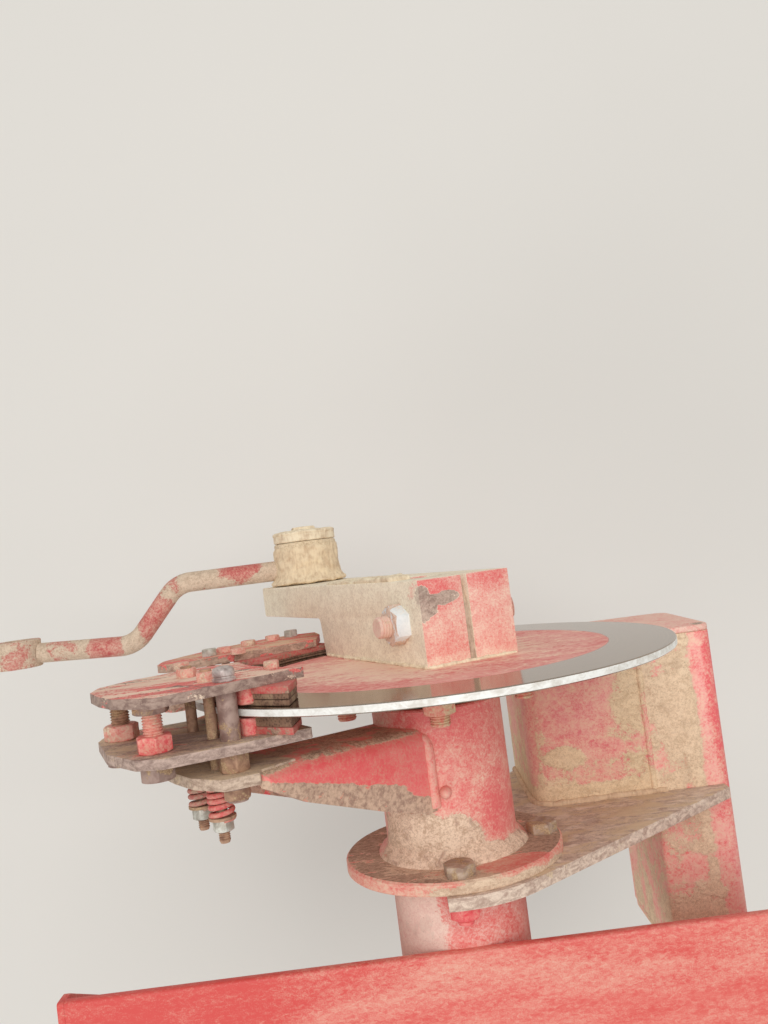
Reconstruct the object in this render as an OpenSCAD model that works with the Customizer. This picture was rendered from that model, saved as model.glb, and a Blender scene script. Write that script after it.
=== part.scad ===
// Crank and disc-brake unit on the end of a baler's knotter shaft.
// Origin: centre of the plate that closes the cross beam's right end, on its outer face.
// +X points out of that end, +Y runs along the shaft and out through the disc, +Z is up.
// All sizes are in millimetres.

/* [Cross beam] */
// Height of the shaft's axis above the beam's middle
axis_up = 20; // [16:1:24]
// Length of the beam to the left of the shaft
beam_left = 314; // [290:2:360]
// Length of the beam to the right of the shaft
beam_right = 306; // [290:2:360]
// Width of the beam along the shaft
beam_w = 100; // [80:2:120]
// Depth of the beam
beam_h = 160; // [156:1:180]
// Wall of the beam
beam_wall = 8; // [5:0.5:10]
// Depth of the beam's lower flange
beam_foot = 28; // [20:1:29]
// Thickness of the plates that close the beam's ends
cap_t = 6; // [4:0.5:10]

/* [Post and bracket] */
// Width of the post
post_w = 75; // [65:1:90]
// Depth of the post behind the beam
post_h = 150; // [120:2:180]
// Wall of the post
post_wall = 6; // [4:0.5:8]
// Outside corner radius of the post and of the bracket
post_r = 18; // [12:1:24]
// Distance from the shaft's axis to the post's near side
post_x = 198; // [192:1:215]
// Drop from the disc's outer face to the top of the post
post_drop = 20; // [16:1:30]
// Distance from the shaft's axis to the bracket's left side
bracket_x = 86; // [80:1:100]
// Thickness of the bracket's bent sheet
bracket_t = 6; // [4:0.5:8]

/* [Bearing tube] */
// Outside diameter of the bearing tube and of the sleeve below it
tube_d = 108; // [100:1:114]
// Wall of the bearing tube
tube_wall = 8; // [6:0.5:10]
// Drop from the disc's outer face to the mouth of the bearing tube
tube_drop = 34; // [33:0.5:38]
// Length of the bearing tube down to the carrier plate
tube_len = 131; // [125:1:150]
// Length of each bearing
bearing_len = 20; // [14:1:26]
// Depth of each bearing behind its mouth
bearing_in = 2; // [1:0.5:6]
// Length of the sleeve between the carrier plate and the beam
sleeve_len = 44; // [36:1:60]
// Diameter of the flange round the tube's foot
flange_d = 180; // [172:1:190]
// Thickness of that flange
flange_t = 10; // [8:0.5:14]
// Thickness of the carrier plate
carrier_t = 10; // [8:0.5:14]
// Distance from the shaft's axis to the carrier plate's left end
carrier_left = 12; // [11:0.5:16]
// Pitch circle of the flange's bolts
flange_pcd = 150; // [140:1:154]
// Diameter of the flange's bolts
flange_bolt_d = 14; // [12:1:14]
// Length of the shaft's turned-down end
stub_len = 45; // [30:1:70]

/* [Shaft and disc] */
// Diameter of the shaft
shaft_d = 40; // [38:1:42]
// Diameter of the shaft's turned-down end
stub_d = 35; // [30:1:36]
// Running clearance, on the radius, of the shaft and of the pins that turn
run_gap = 0.05; // [0.03:0.01:0.1]
// Diameter of the brake disc
disc_d = 400; // [392:1:404]
// Thickness of the brake disc
disc_t = 6; // [5:0.5:8]
// Diameter of the hub flange behind the disc
hub_d = 190; // [180:1:200]
// Thickness of the hub flange
hub_t = 14; // [10:0.5:16]
// Diameter of the hub's neck
neck_d = 70; // [60:1:84]
// Pitch circle of the disc's studs
stud_pcd = 150; // [140:1:154]
// Diameter of the studs
stud_d = 16; // [12:1:16]
// How far the studs' ends reach behind the disc's outer face
stud_reach = 40; // [38:1:42]

/* [Crank] */
// Direction of the crank arm at rest, turned about the shaft from straight right
crank_turn_deg = 116; // [114:1:118]
// Width of the crank arm
crank_w = 83; // [76:1:84]
// Offset of the arm's centre line from the shaft's axis, to its far side
crank_off = 5; // [0:0.5:6]
// Height of the arm off the disc
crank_h = 68; // [64:1:74]
// Length from the shaft to the arm's split end
crank_back = 65; // [60:1:68]
// Length from the shaft to the foot of the step
crank_foot = 142; // [130:1:142]
// Length from the foot to the top of the sloping step
crank_step = 6; // [4:1:6]
// Height of the arm's outer part off the disc
crank_lift = 36; // [35.5:0.5:42]
// Length from the shaft to the arm's outer end
crank_reach = 315; // [310:1:320]
// Throw of the crank pin
crank_throw = 272; // [268:1:276]
// Width of the clamp's slit
slit_w = 5; // [3:0.5:8]
// Distance of the clamp bolt behind the shaft's axis
clamp_back = 30.5; // [30:0.5:34]
// Diameter of the clamp bolt
clamp_d = 16; // [12:1:16]

/* [Pull rod] */
// Diameter of the crank pin
pin_d = 30; // [26:1:34]
// Diameter of the rod's eye on the crank pin
eye_d = 68; // [60:1:74]
// Height of that eye
eye_h = 46; // [40:1:48]
// Thickness of the cap on the crank pin
pin_cap_t = 9; // [6:0.5:12]
// Diameter of the pull rod
rod_d = 22; // [18:1:26]
// Height of the rod's straight part above the disc
rod_high = 86; // [82:0.5:88]
// Length of the straight part from the crank pin to the first bend
rod_first = 147; // [140:1:160]
// Distance along the rod's plane between the two bends
rod_second = 54; // [44:1:60]
// Drop between the two bends
rod_drop = 62; // [60:1:70]
// Length from the second bend to the far eye
rod_third = 132; // [120:1:150]
// Radius of the rod's bends, on its centre line
rod_bend = 34; // [30:1:40]
// Diameter of the far eye
far_eye_d = 52; // [46:1:60]
// Length of the far eye along its bore
far_eye_h = 30; // [26:1:36]
// Diameter of the far eye's bore
far_bore_d = 25; // [20:1:30]

/* [Brake levers] */
// Thickness of the brake's lever plates
lever_t = 7; // [6:0.5:8]
// Gap between the disc's outer face and the upper lever plate
upper_gap = 13.5; // [12:0.5:14]
// Gap between the disc's outer face and the deeper upper shoe plate
shoe_gap = 9.5; // [9:0.5:11]
// Gap between the disc's inner face and the lower plates
lower_gap = 13; // [12:0.5:14]
// Distance from the shaft's axis to the near pads' flat end
near_pad_x = 98; // [95:1:104]
// How far the plates reach in over the disc from its rim
plate_over = 42; // [38:0.5:43]
// Clearance between each lining and the disc
lining_gap = 0.3; // [0.2:0.1:0.6]
// Thickness of the steel backing of each pad
backing_t = 5; // [4:0.5:6]
// Diameter of the main brake pin
brake_pin_d = 14; // [12:1:14]
// Diameter of the tie rods
tie_d = 8; // [6:1:10]
// Diameter of the adjusting screws
adjust_d = 14; // [10:1:14]

/* [Brake arm] */
// Depth of the yoke plate's upper face behind the disc's outer face
yoke_drop = 40; // [39.5:0.5:44]
// Thickness of the yoke plate
yoke_t = 8; // [6:0.5:10]
// Thickness of the pressed arm's sheet
arm_t = 6; // [4:0.5:8]
// Offset of the arm's near web from the line through the shaft
arm_web = 30.5; // [26:0.5:34]
// Offset of the arm's far web, on the other side of that line
arm_far = 44; // [38:1:46]
// Distance in from the rim to the end of the arm's top sheet, where the yoke plate starts
arm_short = 29; // [20:1:34]
// Distance past the rim to the tip of the arm's webs
arm_past = 5; // [0:1:10]
// Depth of the webs at the tube, under the yoke plate's upper face
web_deep = 72; // [66:1:80]
// Clearance between the turning studs and the arm
stud_clear = 5; // [5:0.5:8]
// Length of the loaded brake springs
spring_len = 24; // [20:1:28]
// Outside diameter of the brake springs
spring_d = 18; // [14:0.5:18.5]
// Wire of the brake springs
spring_wire = 3.6; // [2.4:0.2:4]

/* [Hidden] */
$fn = 64;
paint = [0.72, 0.16, 0.18];
steel = [0.52, 0.50, 0.48];
rusty = [0.42, 0.33, 0.28];
zinc = [0.66, 0.66, 0.64];

fit = 0.05;
shoulder = 3;
face_y = beam_w / 2 + sleeve_len + carrier_t + tube_len + tube_drop;
end_x = beam_right + cap_t;
beam_face = -(face_y - beam_w / 2);
beam_back = beam_face - beam_w;
beam_low = -axis_up - beam_h / 2;
tube_foot = -(tube_drop + tube_len);
carrier_foot = tube_foot - carrier_t;
rim = disc_d / 2;
disc_back = -disc_t;
hub_back = disc_back - hub_t;
plate_in_r = rim - plate_over;
arm_end = rim - arm_short;
arm_tip = rim + arm_past;
tube_bore = tube_d - 2 * tube_wall;
upper_y = upper_gap + lever_t;
shoe_y = shoe_gap + lever_t;
lower_y = disc_back - lower_gap;
yoke_top = -yoke_drop;
yoke_foot = yoke_top - yoke_t;

// Hexagon sizes across flats, with the heights of nuts and heads
function flats(d) = d <= 8 ? 13 : d <= 10 ? 17 : d <= 12 ? 19 : d <= 14 ? 22 : 24;
function nut_h(d) = 0.82 * d;
function head_h(d) = 0.64 * d;

// A place in x and z, given its distance past the disc's rim and its direction from the shaft
function past(over, a) = (rim + over) * [cos(a), sin(a)];
// A place in x and z, given its distance along the arm and its offset to the near side
function on_arm(t, o) = [(o - t) / sqrt(2), (o + t) / sqrt(2)];

// Directions of the flange's bolts, which all pass through the carrier plate
flange_bolt_turns = [0, 90, 270];

// Places of the brake's pins, as x and z from the shaft's axis
brake_pin_at = past(10, 133.3);
tie_at = [past(11.2, 138.8), past(7.3, 150.8)];
adjust_at = [past(52, 140), past(53.7, 157.3)];
shoe_pin_at = [past(20.3, 203.5), past(33.7, 234.4)];
shoe_inner_bolt_at = past(-14, 202.4);
shoe_outer_bolts_at = [past(17.5, 208.6), past(26.5, 219.8), past(29.5, 228.2)];

// Outlines of the plates, as distances past the rim and directions
upper_outline = [[-42.5, 125.6], [13, 130], [67.7, 133], [76.6, 141], [76.4, 146.4], [75, 152.7],
                 [66.3, 157.7], [44.8, 161.4], [12.1, 164.1], [-16, 165.5], [-41.9, 165.3]];
lower_outline = [[-29, 121.4], [18, 128.3], [62.4, 133.9], [72.5, 137.5], [74.6, 146.9], [70.4, 158.7],
                 [66.6, 161.6], [45.2, 164.4], [11.5, 164.7], [-16, 165.5], [-41.9, 165.3]];
shoe_outline = [[-44.2, 228.1], [-12.1, 205.2], [36.7, 191.5], [51, 193.4], [60.6, 199.3], [60.1, 207],
                [60, 218], [57.9, 229.4], [49.6, 236.4], [32.7, 241.2], [-0.4, 238.5]];
yoke_edge = [[30, 130], [34.9, 137.1], [33.4, 144.4], [29.5, 149.6], [23.6, 154.1], [9.5, 159.3]];
// Where the pads start and end round the disc, and how far in from the rim they stop
near_pad_a = [116, 150];
deep_pad_a = [204, 236];
near_pad_in = 6;
deep_pad_in = 4;

module mech() { translate([-end_x, face_y, axis_up]) children(); }
module at(p) { translate([p[0], 0, p[1]]) children(); }
// A plate whose upper face lies at height top over the disc's face, from a flat outline in x and z
module ply(top, thick) { translate([0, top, 0]) rotate([90, 0, 0]) linear_extrude(height = thick) children(); }
// A round bar along the shaft's direction, from top downwards
module bar(top, len, d) { translate([0, top, 0]) rotate([90, 0, 0]) cylinder(h = len, d = d); }
module hex(top, len, af) { translate([0, top, 0]) rotate([90, 0, 0]) cylinder(h = len, d = af / cos(30), $fn = 6); }
module ring(top, len, od, id) { difference() { bar(top, len, od); bar(top + 1, len + 2, id); } }
// A flat sector between two radii, from angle a to angle b
module sector(r1, r2, a, b) {
    steps = ceil(abs(b - a) / 6);
    polygon(concat([for (i = [0:steps]) let(t = a + (b - a) * i / steps) [r2 * cos(t), r2 * sin(t)]],
                   [for (i = [steps:-1:0]) let(t = a + (b - a) * i / steps) [r1 * cos(t), r1 * sin(t)]]));
}
// A flat outline from places past the rim
module past_rim(list) { polygon([for (q = list) past(q[0], q[1])]); }
module round_rect(w, h, r) {
    for (x = [r, w - r], y = [r, h - r]) translate([x, y]) circle(r);
    translate([r, 0]) square([w - 2 * r, h]);
    translate([0, r]) square([w, h - 2 * r]);
}

// A length along x of a section drawn in y and z
module along_beam(x, len) { translate([x, 0, 0]) rotate([90, 0, 90]) linear_extrude(height = len) children(); }

// The beam is a channel that is open towards the disc, with a short lower flange
module cross_beam() {
    top = beam_low + beam_h;
    inner = beam_back + beam_wall;
    lip = beam_back + beam_foot;
    color(paint) mech() difference() {
        along_beam(-beam_left, beam_left + beam_right)
            polygon([[beam_face, top], [beam_back, top], [beam_back, beam_low], [lip, beam_low],
                     [lip, beam_low + beam_wall], [inner, beam_low + beam_wall], [inner, top - beam_wall],
                     [beam_face, top - beam_wall]]);
        bar(beam_face + 1, beam_w + 2, tube_d + 2 * fit);
    }
}

module beam_caps() {
    top = beam_low + beam_h;
    color(paint) mech() for (x = [-beam_left - cap_t, beam_right]) along_beam(x, cap_t)
        polygon([[beam_face, top], [beam_back, top], [beam_back, beam_low], [beam_back + beam_foot, beam_low],
                 [beam_face, top - 2 * beam_wall]]);
}

module side_post() {
    color(paint) mech() ply(-post_drop, beam_w + abs(beam_face) - post_drop) difference() {
        translate([post_x, beam_low - post_h]) round_rect(post_w, post_h, post_r);
        translate([post_x + post_wall, beam_low - post_h + post_wall])
            round_rect(post_w - 2 * post_wall, post_h - 2 * post_wall, post_r - post_wall);
    }
}

module post_cap() {
    color(paint) mech() ply(-post_drop + bracket_t, bracket_t)
        translate([bracket_x, beam_low - post_h]) round_rect(post_x + post_w - bracket_x, post_h, post_r);
}

module post_foot() {
    color(paint) mech() ply(beam_back, cap_t)
        translate([post_x, beam_low - post_h]) round_rect(post_w, post_h, post_r);
}

module bent_bracket() {
    color(paint) mech() ply(-post_drop, abs(tube_foot) - post_drop) intersection() {
        difference() {
            translate([bracket_x, beam_low - post_h]) round_rect(post_x + post_w - bracket_x, post_h, post_r);
            translate([bracket_x + bracket_t, beam_low - post_h - post_r])
                round_rect(post_x + post_w, post_h + post_r - bracket_t, post_r - bracket_t);
        }
        difference() {
            translate([bracket_x, beam_low - post_h]) square([post_x + post_r - bracket_x, post_h]);
            translate([post_x, beam_low - post_h]) round_rect(post_w, post_h, post_r);
            translate([post_x, beam_low - post_h - 1]) square([post_w, post_h / 2]);
        }
    }
}

module carrier_plate() {
    edge = flange_d / 2 + 4;
    far_x = post_x + post_w - 9;
    color(rusty) mech() ply(tube_foot, carrier_t) difference() {
        polygon(concat([for (a = [53:5:93]) [edge * cos(a), edge * sin(a)]],
                       [[-carrier_left, edge * cos(asin(carrier_left / edge))], [-carrier_left, -edge],
                        [bracket_x, beam_low - post_h], [post_x, beam_low - post_h], [post_x, beam_low],
                        [far_x, beam_low], [far_x, beam_low + 13]]));
        circle(d = tube_d + 2 * fit);
        for (a = flange_bolt_turns) rotate(a) translate([flange_pcd / 2, 0]) circle(d = flange_bolt_d + 0.5);
    }
}

module lower_sleeve() {
    color(paint) mech() ring(carrier_foot, carrier_foot - beam_back, tube_d, tube_bore);
}

module bearing_tube() {
    color(paint) mech() ring(-tube_drop, tube_len + carrier_t, tube_d, tube_bore);
}

module bearing_flange() {
    color(paint) mech() difference() {
        ring(tube_foot + flange_t, flange_t, flange_d, tube_d + 2 * fit);
        for (a = flange_bolt_turns) rotate([0, a, 0]) translate([flange_pcd / 2, 0, 0])
            bar(tube_foot + flange_t + 1, flange_t + 2, flange_bolt_d + 0.5);
    }
}

module flange_bolts() {
    top = tube_foot + flange_t;
    nut = nut_h(flange_bolt_d);
    color(zinc) mech() for (a = flange_bolt_turns) rotate([0, a, 0]) translate([flange_pcd / 2, 0, 0]) {
        hex(top + head_h(flange_bolt_d), head_h(flange_bolt_d), flats(flange_bolt_d));
        bar(top, top - carrier_foot + nut + 5, flange_bolt_d);
        hex(carrier_foot, nut, flats(flange_bolt_d));
    }
}

module front_bearing() {
    color(steel) mech()
        ring(-tube_drop - bearing_in, bearing_len, tube_bore - 2 * fit, shaft_d + 2 * run_gap);
}

module rear_bearing() {
    color(steel) mech()
        ring(beam_back + bearing_in + bearing_len, bearing_len, tube_bore - 2 * fit, shaft_d + 2 * run_gap);
}

// Direction of the pressed arm, halfway between left and up
module along_arm() { rotate([0, -135, 0]) children(); }

module brake_arm() {
    stud_y = -stud_reach - stud_clear;
    stud_r = stud_pcd / 2 + stud_d / 2 + stud_clear;
    low = yoke_top - web_deep;
    root_y = stud_y - 5;
    top_line = [[0, root_y], [stud_r, stud_y]];
    sheet_line = [[stud_r, stud_y - arm_t], [0, root_y - arm_t]];
    web_line = [[arm_end, yoke_top], [arm_end, yoke_foot], [arm_tip, yoke_foot], [arm_tip, yoke_foot - 3],
                [170, low + 42], [100, low + 15], [54, low], [0, low]];
    color(paint) mech() along_arm() difference() {
        union() {
            translate([0, 0, -arm_web]) linear_extrude(height = arm_web + arm_far)
                polygon(concat(top_line, [[arm_end, yoke_top], [arm_end, yoke_top - arm_t]], sheet_line));
            for (w = [-arm_web, arm_far - arm_t]) translate([0, 0, w])
                linear_extrude(height = arm_t) polygon(concat(top_line, web_line));
        }
        bar(0, 200, tube_d + 2 * fit);
    }
}

module yoke_plate() {
    color(rusty) mech() ply(yoke_top, yoke_t) difference() {
        union() {
            polygon(concat([on_arm(arm_end, arm_web), on_arm(arm_tip + 2, arm_web)],
                           [for (q = yoke_edge) past(q[0], q[1])], [on_arm(arm_end, -arm_far)]));
            sector(rim, rim + 40, 154, 240);
        }
        translate(brake_pin_at) circle(d = brake_pin_d + 1);
        for (p = tie_at) translate(p) circle(d = tie_d + 1);
        for (p = shoe_pin_at) translate(p) circle(d = tie_d + 1);
    }
}

module grease_plug() {
    plug_d = 11;
    turn = 135 - asin((arm_web + plug_d / 2 + 0.6) / (tube_d / 2));
    color(paint) mech() rotate([0, -turn, 0]) translate([tube_d / 2, (yoke_top + tube_foot) / 2 + 4.5, 0])
        difference() {
            union() {
                translate([-2, 0, 0]) rotate([0, 90, 0]) cylinder(h = 7, d = plug_d);
                translate([5, 0, 0]) sphere(d = plug_d);
            }
            translate([-tube_d / 2, 0, 0]) bar(20, 40, tube_d + 2 * fit);
        }
}

module lever_plate(outline, top) {
    color(rusty) mech() ply(top, lever_t) difference() {
        past_rim(outline);
        circle(plate_in_r);
        translate(brake_pin_at) circle(d = brake_pin_d + 0.6);
        for (p = tie_at) translate(p) circle(d = tie_d + 1);
        for (p = adjust_at) translate(p) circle(d = adjust_d + 0.6);
    }
}
module upper_lever() { lever_plate(upper_outline, upper_y); }
module lower_lever() { lever_plate(lower_outline, lower_y); }

module shoe_plate(top) {
    color(rusty) mech() ply(top, lever_t) difference() {
        past_rim(shoe_outline);
        circle(plate_in_r);
        for (p = shoe_pin_at) translate(p) circle(d = tie_d + 1);
        for (p = concat([shoe_inner_bolt_at], shoe_outer_bolts_at)) translate(p) circle(d = tie_d);
    }
}
module upper_shoe() { shoe_plate(shoe_y); }
module lower_shoe() { shoe_plate(lower_y); }

module brake_pin() {
    stand = 9.5;
    washer_t = 3;
    nut = nut_h(0.65 * brake_pin_d);
    tail = stand + upper_y - yoke_foot + washer_t + nut + 1.5;
    color(steel) mech() at(brake_pin_at) {
        bar(upper_y + stand, tail, brake_pin_d);
        hex(lower_y - lever_t, lower_y - lever_t - yoke_top, brake_pin_d + 5);
        bar(yoke_foot, washer_t, brake_pin_d + 6);
        hex(yoke_foot - washer_t, nut, brake_pin_d + 3);
    }
}

module tie_rods() {
    nut = nut_h(tie_d);
    seat_t = 2;
    thread = 10;
    low_nut = yoke_foot - spring_len - seat_t;
    color(steel) mech() {
        for (p = tie_at) at(p) {
            bar(upper_y + nut + 2.5, upper_y + nut + 2.5 - low_nut + nut + thread, tie_d);
            hex(upper_y + nut, nut, flats(tie_d));
            bar(yoke_foot - spring_len, seat_t, spring_d);
            hex(low_nut, 1.25 * nut, flats(tie_d));
        }
        for (p = shoe_pin_at) at(p) {
            bar(shoe_y, shoe_y - yoke_foot + nut + 3, tie_d);
            hex(shoe_y + nut, nut, flats(tie_d));
            bar(lower_y - lever_t, lower_y - lever_t - yoke_top, tie_d + 6);
            hex(yoke_foot, nut, flats(tie_d));
        }
    }
}

// Points of a coil round the shaft's direction: turns, mean radius, pitch and wire
module coil(top, len, od, wire, turns) {
    sides = 6;
    steps = 14 * turns;
    r = (od - wire) / 2;
    rise = len - wire;
    pts = [for (i = [0:steps]) let(t = 360 * turns * i / steps, y = top - wire / 2 - rise * i / steps)
        for (j = [0:sides - 1]) let(s = 360 * j / sides, q = r + wire / 2 * cos(s))
            [q * cos(t), y + wire / 2 * sin(s), q * sin(t)]];
    skin = [for (i = [0:steps - 1], j = [0:sides - 1]) let(a = i * sides, k = (j + 1) % sides)
        [a + j, a + k, a + sides + k, a + sides + j]];
    ends = [[for (j = [sides - 1:-1:0]) j], [for (j = [0:sides - 1]) steps * sides + j]];
    polyhedron(points = pts, faces = concat(skin, ends), convexity = 4);
}

module brake_springs() {
    color(paint) mech() for (p = tie_at) at(p) coil(yoke_foot, spring_len, spring_d, spring_wire, 4);
}

module adjusters() {
    nut = nut_h(adjust_d);
    color(paint) mech() for (p = adjust_at) at(p) {
        bar(upper_y + 3, upper_y + 3 - lower_y + lever_t + nut + 1.5, adjust_d);
        hex(upper_gap, 0.6 * nut, flats(adjust_d));
        hex(lower_y + nut, nut, flats(adjust_d));
        hex(lower_y - lever_t, head_h(adjust_d), flats(adjust_d) - 3);
    }
}

module shoe_bolts() {
    head = head_h(tie_d);
    color(steel) mech() {
        at(shoe_inner_bolt_at) {
            hex(shoe_y + head, head, flats(tie_d));
            bar(shoe_y, lever_t, tie_d - 2 * fit);
        }
        for (p = shoe_outer_bolts_at) at(p) {
            hex(shoe_y + head, head, flats(tie_d));
            bar(shoe_y, shoe_y - lower_y + lever_t, tie_d - 2 * fit);
            hex(lower_y - lever_t, nut_h(tie_d), flats(tie_d));
        }
    }
}

// Flat outlines of the pads, which stop a set distance in from the rim
module near_pad(inset) {
    intersection() {
        sector(plate_in_r + 3, rim - inset, near_pad_a[0], near_pad_a[1]);
        translate([-rim, 0]) square([rim - near_pad_x, rim]);
    }
}
module deep_pad(inset) { sector(plate_in_r + 3, rim - inset, deep_pad_a[0], deep_pad_a[1]); }

module pad_backings() {
    low = lower_y + backing_t;
    color(paint) mech() {
        ply(upper_gap, backing_t) near_pad(near_pad_in);
        ply(low, backing_t) near_pad(near_pad_in);
        ply(shoe_gap, backing_t) deep_pad(deep_pad_in);
        ply(low, backing_t) deep_pad(deep_pad_in);
    }
}

module pad_linings() {
    low = disc_back - lining_gap;
    back = backing_t + lining_gap;
    color([0.25, 0.2, 0.18]) mech() {
        ply(upper_gap - backing_t, upper_gap - back) near_pad(near_pad_in + 1);
        ply(low, lower_gap - back) near_pad(near_pad_in + 1);
        ply(shoe_gap - backing_t, shoe_gap - back) deep_pad(deep_pad_in + 1);
        ply(low, lower_gap - back) deep_pad(deep_pad_in + 1);
    }
}

module shaft() {
    top = crank_h - shoulder;
    low = beam_back - shoulder;
    color(steel) mech() {
        bar(top, top - low, shaft_d);
        bar(low, stub_len, stub_d);
    }
}

module hub_flange() {
    color(rusty) mech() difference() {
        union() {
            bar(disc_back, hub_t, hub_d);
            bar(hub_back, tube_drop + bearing_in - disc_t - hub_t - 1, neck_d);
        }
        bar(1, 60, shaft_d + 2 * fit);
        for (a = [0:90:270]) rotate([0, a, 0]) translate([stud_pcd / 2, 0, 0]) bar(1, 60, stud_d + 2 * fit);
    }
}

module brake_disc() {
    color(steel) mech() difference() {
        bar(0, disc_t, disc_d);
        bar(1, 60, shaft_d + 2 * fit);
        for (a = [0:90:270]) rotate([0, a, 0]) translate([stud_pcd / 2, 0, 0]) bar(1, 60, stud_d + 2 * fit);
    }
}

module disc_studs() {
    color(paint) mech() for (a = [0:90:270]) rotate([0, a, 0]) translate([stud_pcd / 2, 0, 0]) {
        bar(0, stud_reach, stud_d);
        hex(hub_back, nut_h(stud_d), flats(stud_d));
    }
}

// The crank's own frame: x runs out along the arm, y stays along the shaft
module along_crank() { rotate([0, crank_turn_deg, 0]) translate([0, 0, crank_off]) children(); }

module crank_arm() {
    half = crank_w / 2;
    color(paint) mech() along_crank() difference() {
        translate([0, 0, -half]) linear_extrude(height = crank_w)
            polygon([[-crank_back, 0], [crank_foot, 0], [crank_foot + crank_step, crank_lift],
                     [crank_reach, crank_lift], [crank_reach, crank_h], [-crank_back, crank_h]]);
        translate([0, 0, -crank_off]) bar(crank_h + 1, crank_h + 2, shaft_d + 2 * fit);
        translate([-crank_back - 1, -1, -slit_w / 2]) cube([crank_back + 1, crank_h + 2, slit_w]);
        translate([-clamp_back, crank_h / 2, -half - 1]) cylinder(h = crank_w + 2, d = clamp_d + 2 * fit);
        translate([crank_throw, 0, 0]) bar(crank_h + 1, crank_h + 2, pin_d + 2 * fit);
    }
}

module clamp_bolt() {
    half = crank_w / 2;
    nut = nut_h(clamp_d) + 2.5;
    washer = 3;
    spacer = 6;
    tail = washer + nut + 0.45 * clamp_d;
    wide = flats(clamp_d) / cos(30);
    color(zinc) mech() along_crank() translate([-clamp_back, crank_h / 2, 0]) {
        translate([0, 0, -half - tail]) cylinder(h = crank_w + tail, d = clamp_d);
        translate([0, 0, half]) cylinder(h = spacer, d = clamp_d + 10);
        translate([0, 0, half + spacer]) cylinder(h = head_h(clamp_d), d = wide, $fn = 6);
        translate([0, 0, -half - washer]) cylinder(h = washer, d = clamp_d + 14);
        translate([0, 0, -half - washer - nut]) cylinder(h = nut, d = wide, $fn = 6);
    }
}

module crank_pin() {
    play = 0.5;
    cap_y = crank_h + eye_h + 2 * play;
    nut = nut_h(0.6 * pin_d) / 2;
    color(steel) mech() along_crank() translate([crank_throw, 0, 0]) {
        bar(cap_y, cap_y - crank_lift, pin_d);
        bar(cap_y + pin_cap_t, pin_cap_t, eye_d);
        hex(cap_y + pin_cap_t + nut, nut, flats(0.45 * pin_d));
    }
}

pin_x = crank_throw * cos(crank_turn_deg) + crank_off * sin(crank_turn_deg);
pin_z = -crank_throw * sin(crank_turn_deg) + crank_off * cos(crank_turn_deg);
module at_pin() { translate([pin_x, 0, pin_z]) children(); }

// Corners of the rod's centre line in its own plane, from the crank pin outwards
rod_line = [[0, rod_high], [-rod_first, rod_high], [-rod_first - rod_second, rod_high - rod_drop],
            [-rod_first - rod_second - rod_third, rod_high - rod_drop + 6]];

module rod_eye() {
    color(paint) mech() at_pin() ring(crank_h + 0.5 + eye_h, eye_h, eye_d, pin_d + 2 * run_gap);
}

function heading(a, b) = atan2(b[1] - a[1], b[0] - a[0]);
function wrap(t) = t > 180 ? t - 360 : t < -180 ? t + 360 : t;
// Stations along a bend of radius r at corner b, between the legs from a and to c, as [x, y, heading]
function bend(a, b, c, r, steps) = let(from = heading(a, b), w = wrap(heading(b, c) - from),
    side = w > 0 ? 1 : -1, back = r * tan(abs(w) / 2),
    mid = b - back * [cos(from), sin(from)] + side * r * [-sin(from), cos(from)])
    [for (i = [0:steps]) let(t = from + w * i / steps)
        [mid[0] + side * r * sin(t), mid[1] - side * r * cos(t), t]];

// A round bar of diameter d through stations in one plane
module bent_bar(stations, d, sides) {
    last = len(stations) - 1;
    pts = [for (q = stations, j = [0:sides - 1]) let(s = 360 * j / sides, r = d / 2 * cos(s))
        [q[0] - r * sin(q[2]), q[1] + r * cos(q[2]), d / 2 * sin(s)]];
    skin = [for (i = [0:last - 1], j = [0:sides - 1]) let(a = i * sides, k = (j + 1) % sides)
        [a + j, a + sides + j, a + sides + k, a + k]];
    ends = [[for (j = [0:sides - 1]) j], [for (j = [sides - 1:-1:0]) last * sides + j]];
    polyhedron(points = pts, faces = concat(skin, ends), convexity = 4);
}

module pull_rod() {
    line = rod_line;
    stations = concat([[line[0][0], line[0][1], heading(line[0], line[1])]],
                      bend(line[0], line[1], line[2], rod_bend, 8), bend(line[1], line[2], line[3], rod_bend, 8),
                      [[line[3][0], line[3][1], heading(line[2], line[3])]]);
    color(paint) mech() at_pin() difference() {
        bent_bar(stations, rod_d, 20);
        bar(200, 200, eye_d + 2 * fit);
        translate([line[3][0], 0, 0]) bar(200, 300, far_eye_d + 2 * fit);
    }
}

module far_eye() {
    color(paint) mech() at_pin() translate([rod_line[3][0], 0, 0])
        ring(rod_line[3][1] + far_eye_h / 2, far_eye_h, far_eye_d, far_bore_d);
}

cross_beam();
beam_caps();
side_post();
post_cap();
post_foot();
bent_bracket();
carrier_plate();
lower_sleeve();
bearing_tube();
bearing_flange();
flange_bolts();
front_bearing();
rear_bearing();
brake_arm();
yoke_plate();
grease_plug();
upper_lever();
lower_lever();
upper_shoe();
lower_shoe();
brake_pin();
tie_rods();
brake_springs();
adjusters();
shoe_bolts();
pad_backings();
pad_linings();
shaft();
hub_flange();
brake_disc();
disc_studs();
crank_arm();
clamp_bolt();
crank_pin();
rod_eye();
pull_rod();
far_eye();
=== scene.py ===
"""Looks for the crank and disc-brake unit on the end of a baler's knotter shaft."""
import logging
import math
from dataclasses import dataclass
from enum import Enum
from typing import Callable, ClassVar, Optional, Protocol, Sequence, Union

import bpy
from mathutils import Matrix, Vector


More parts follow.
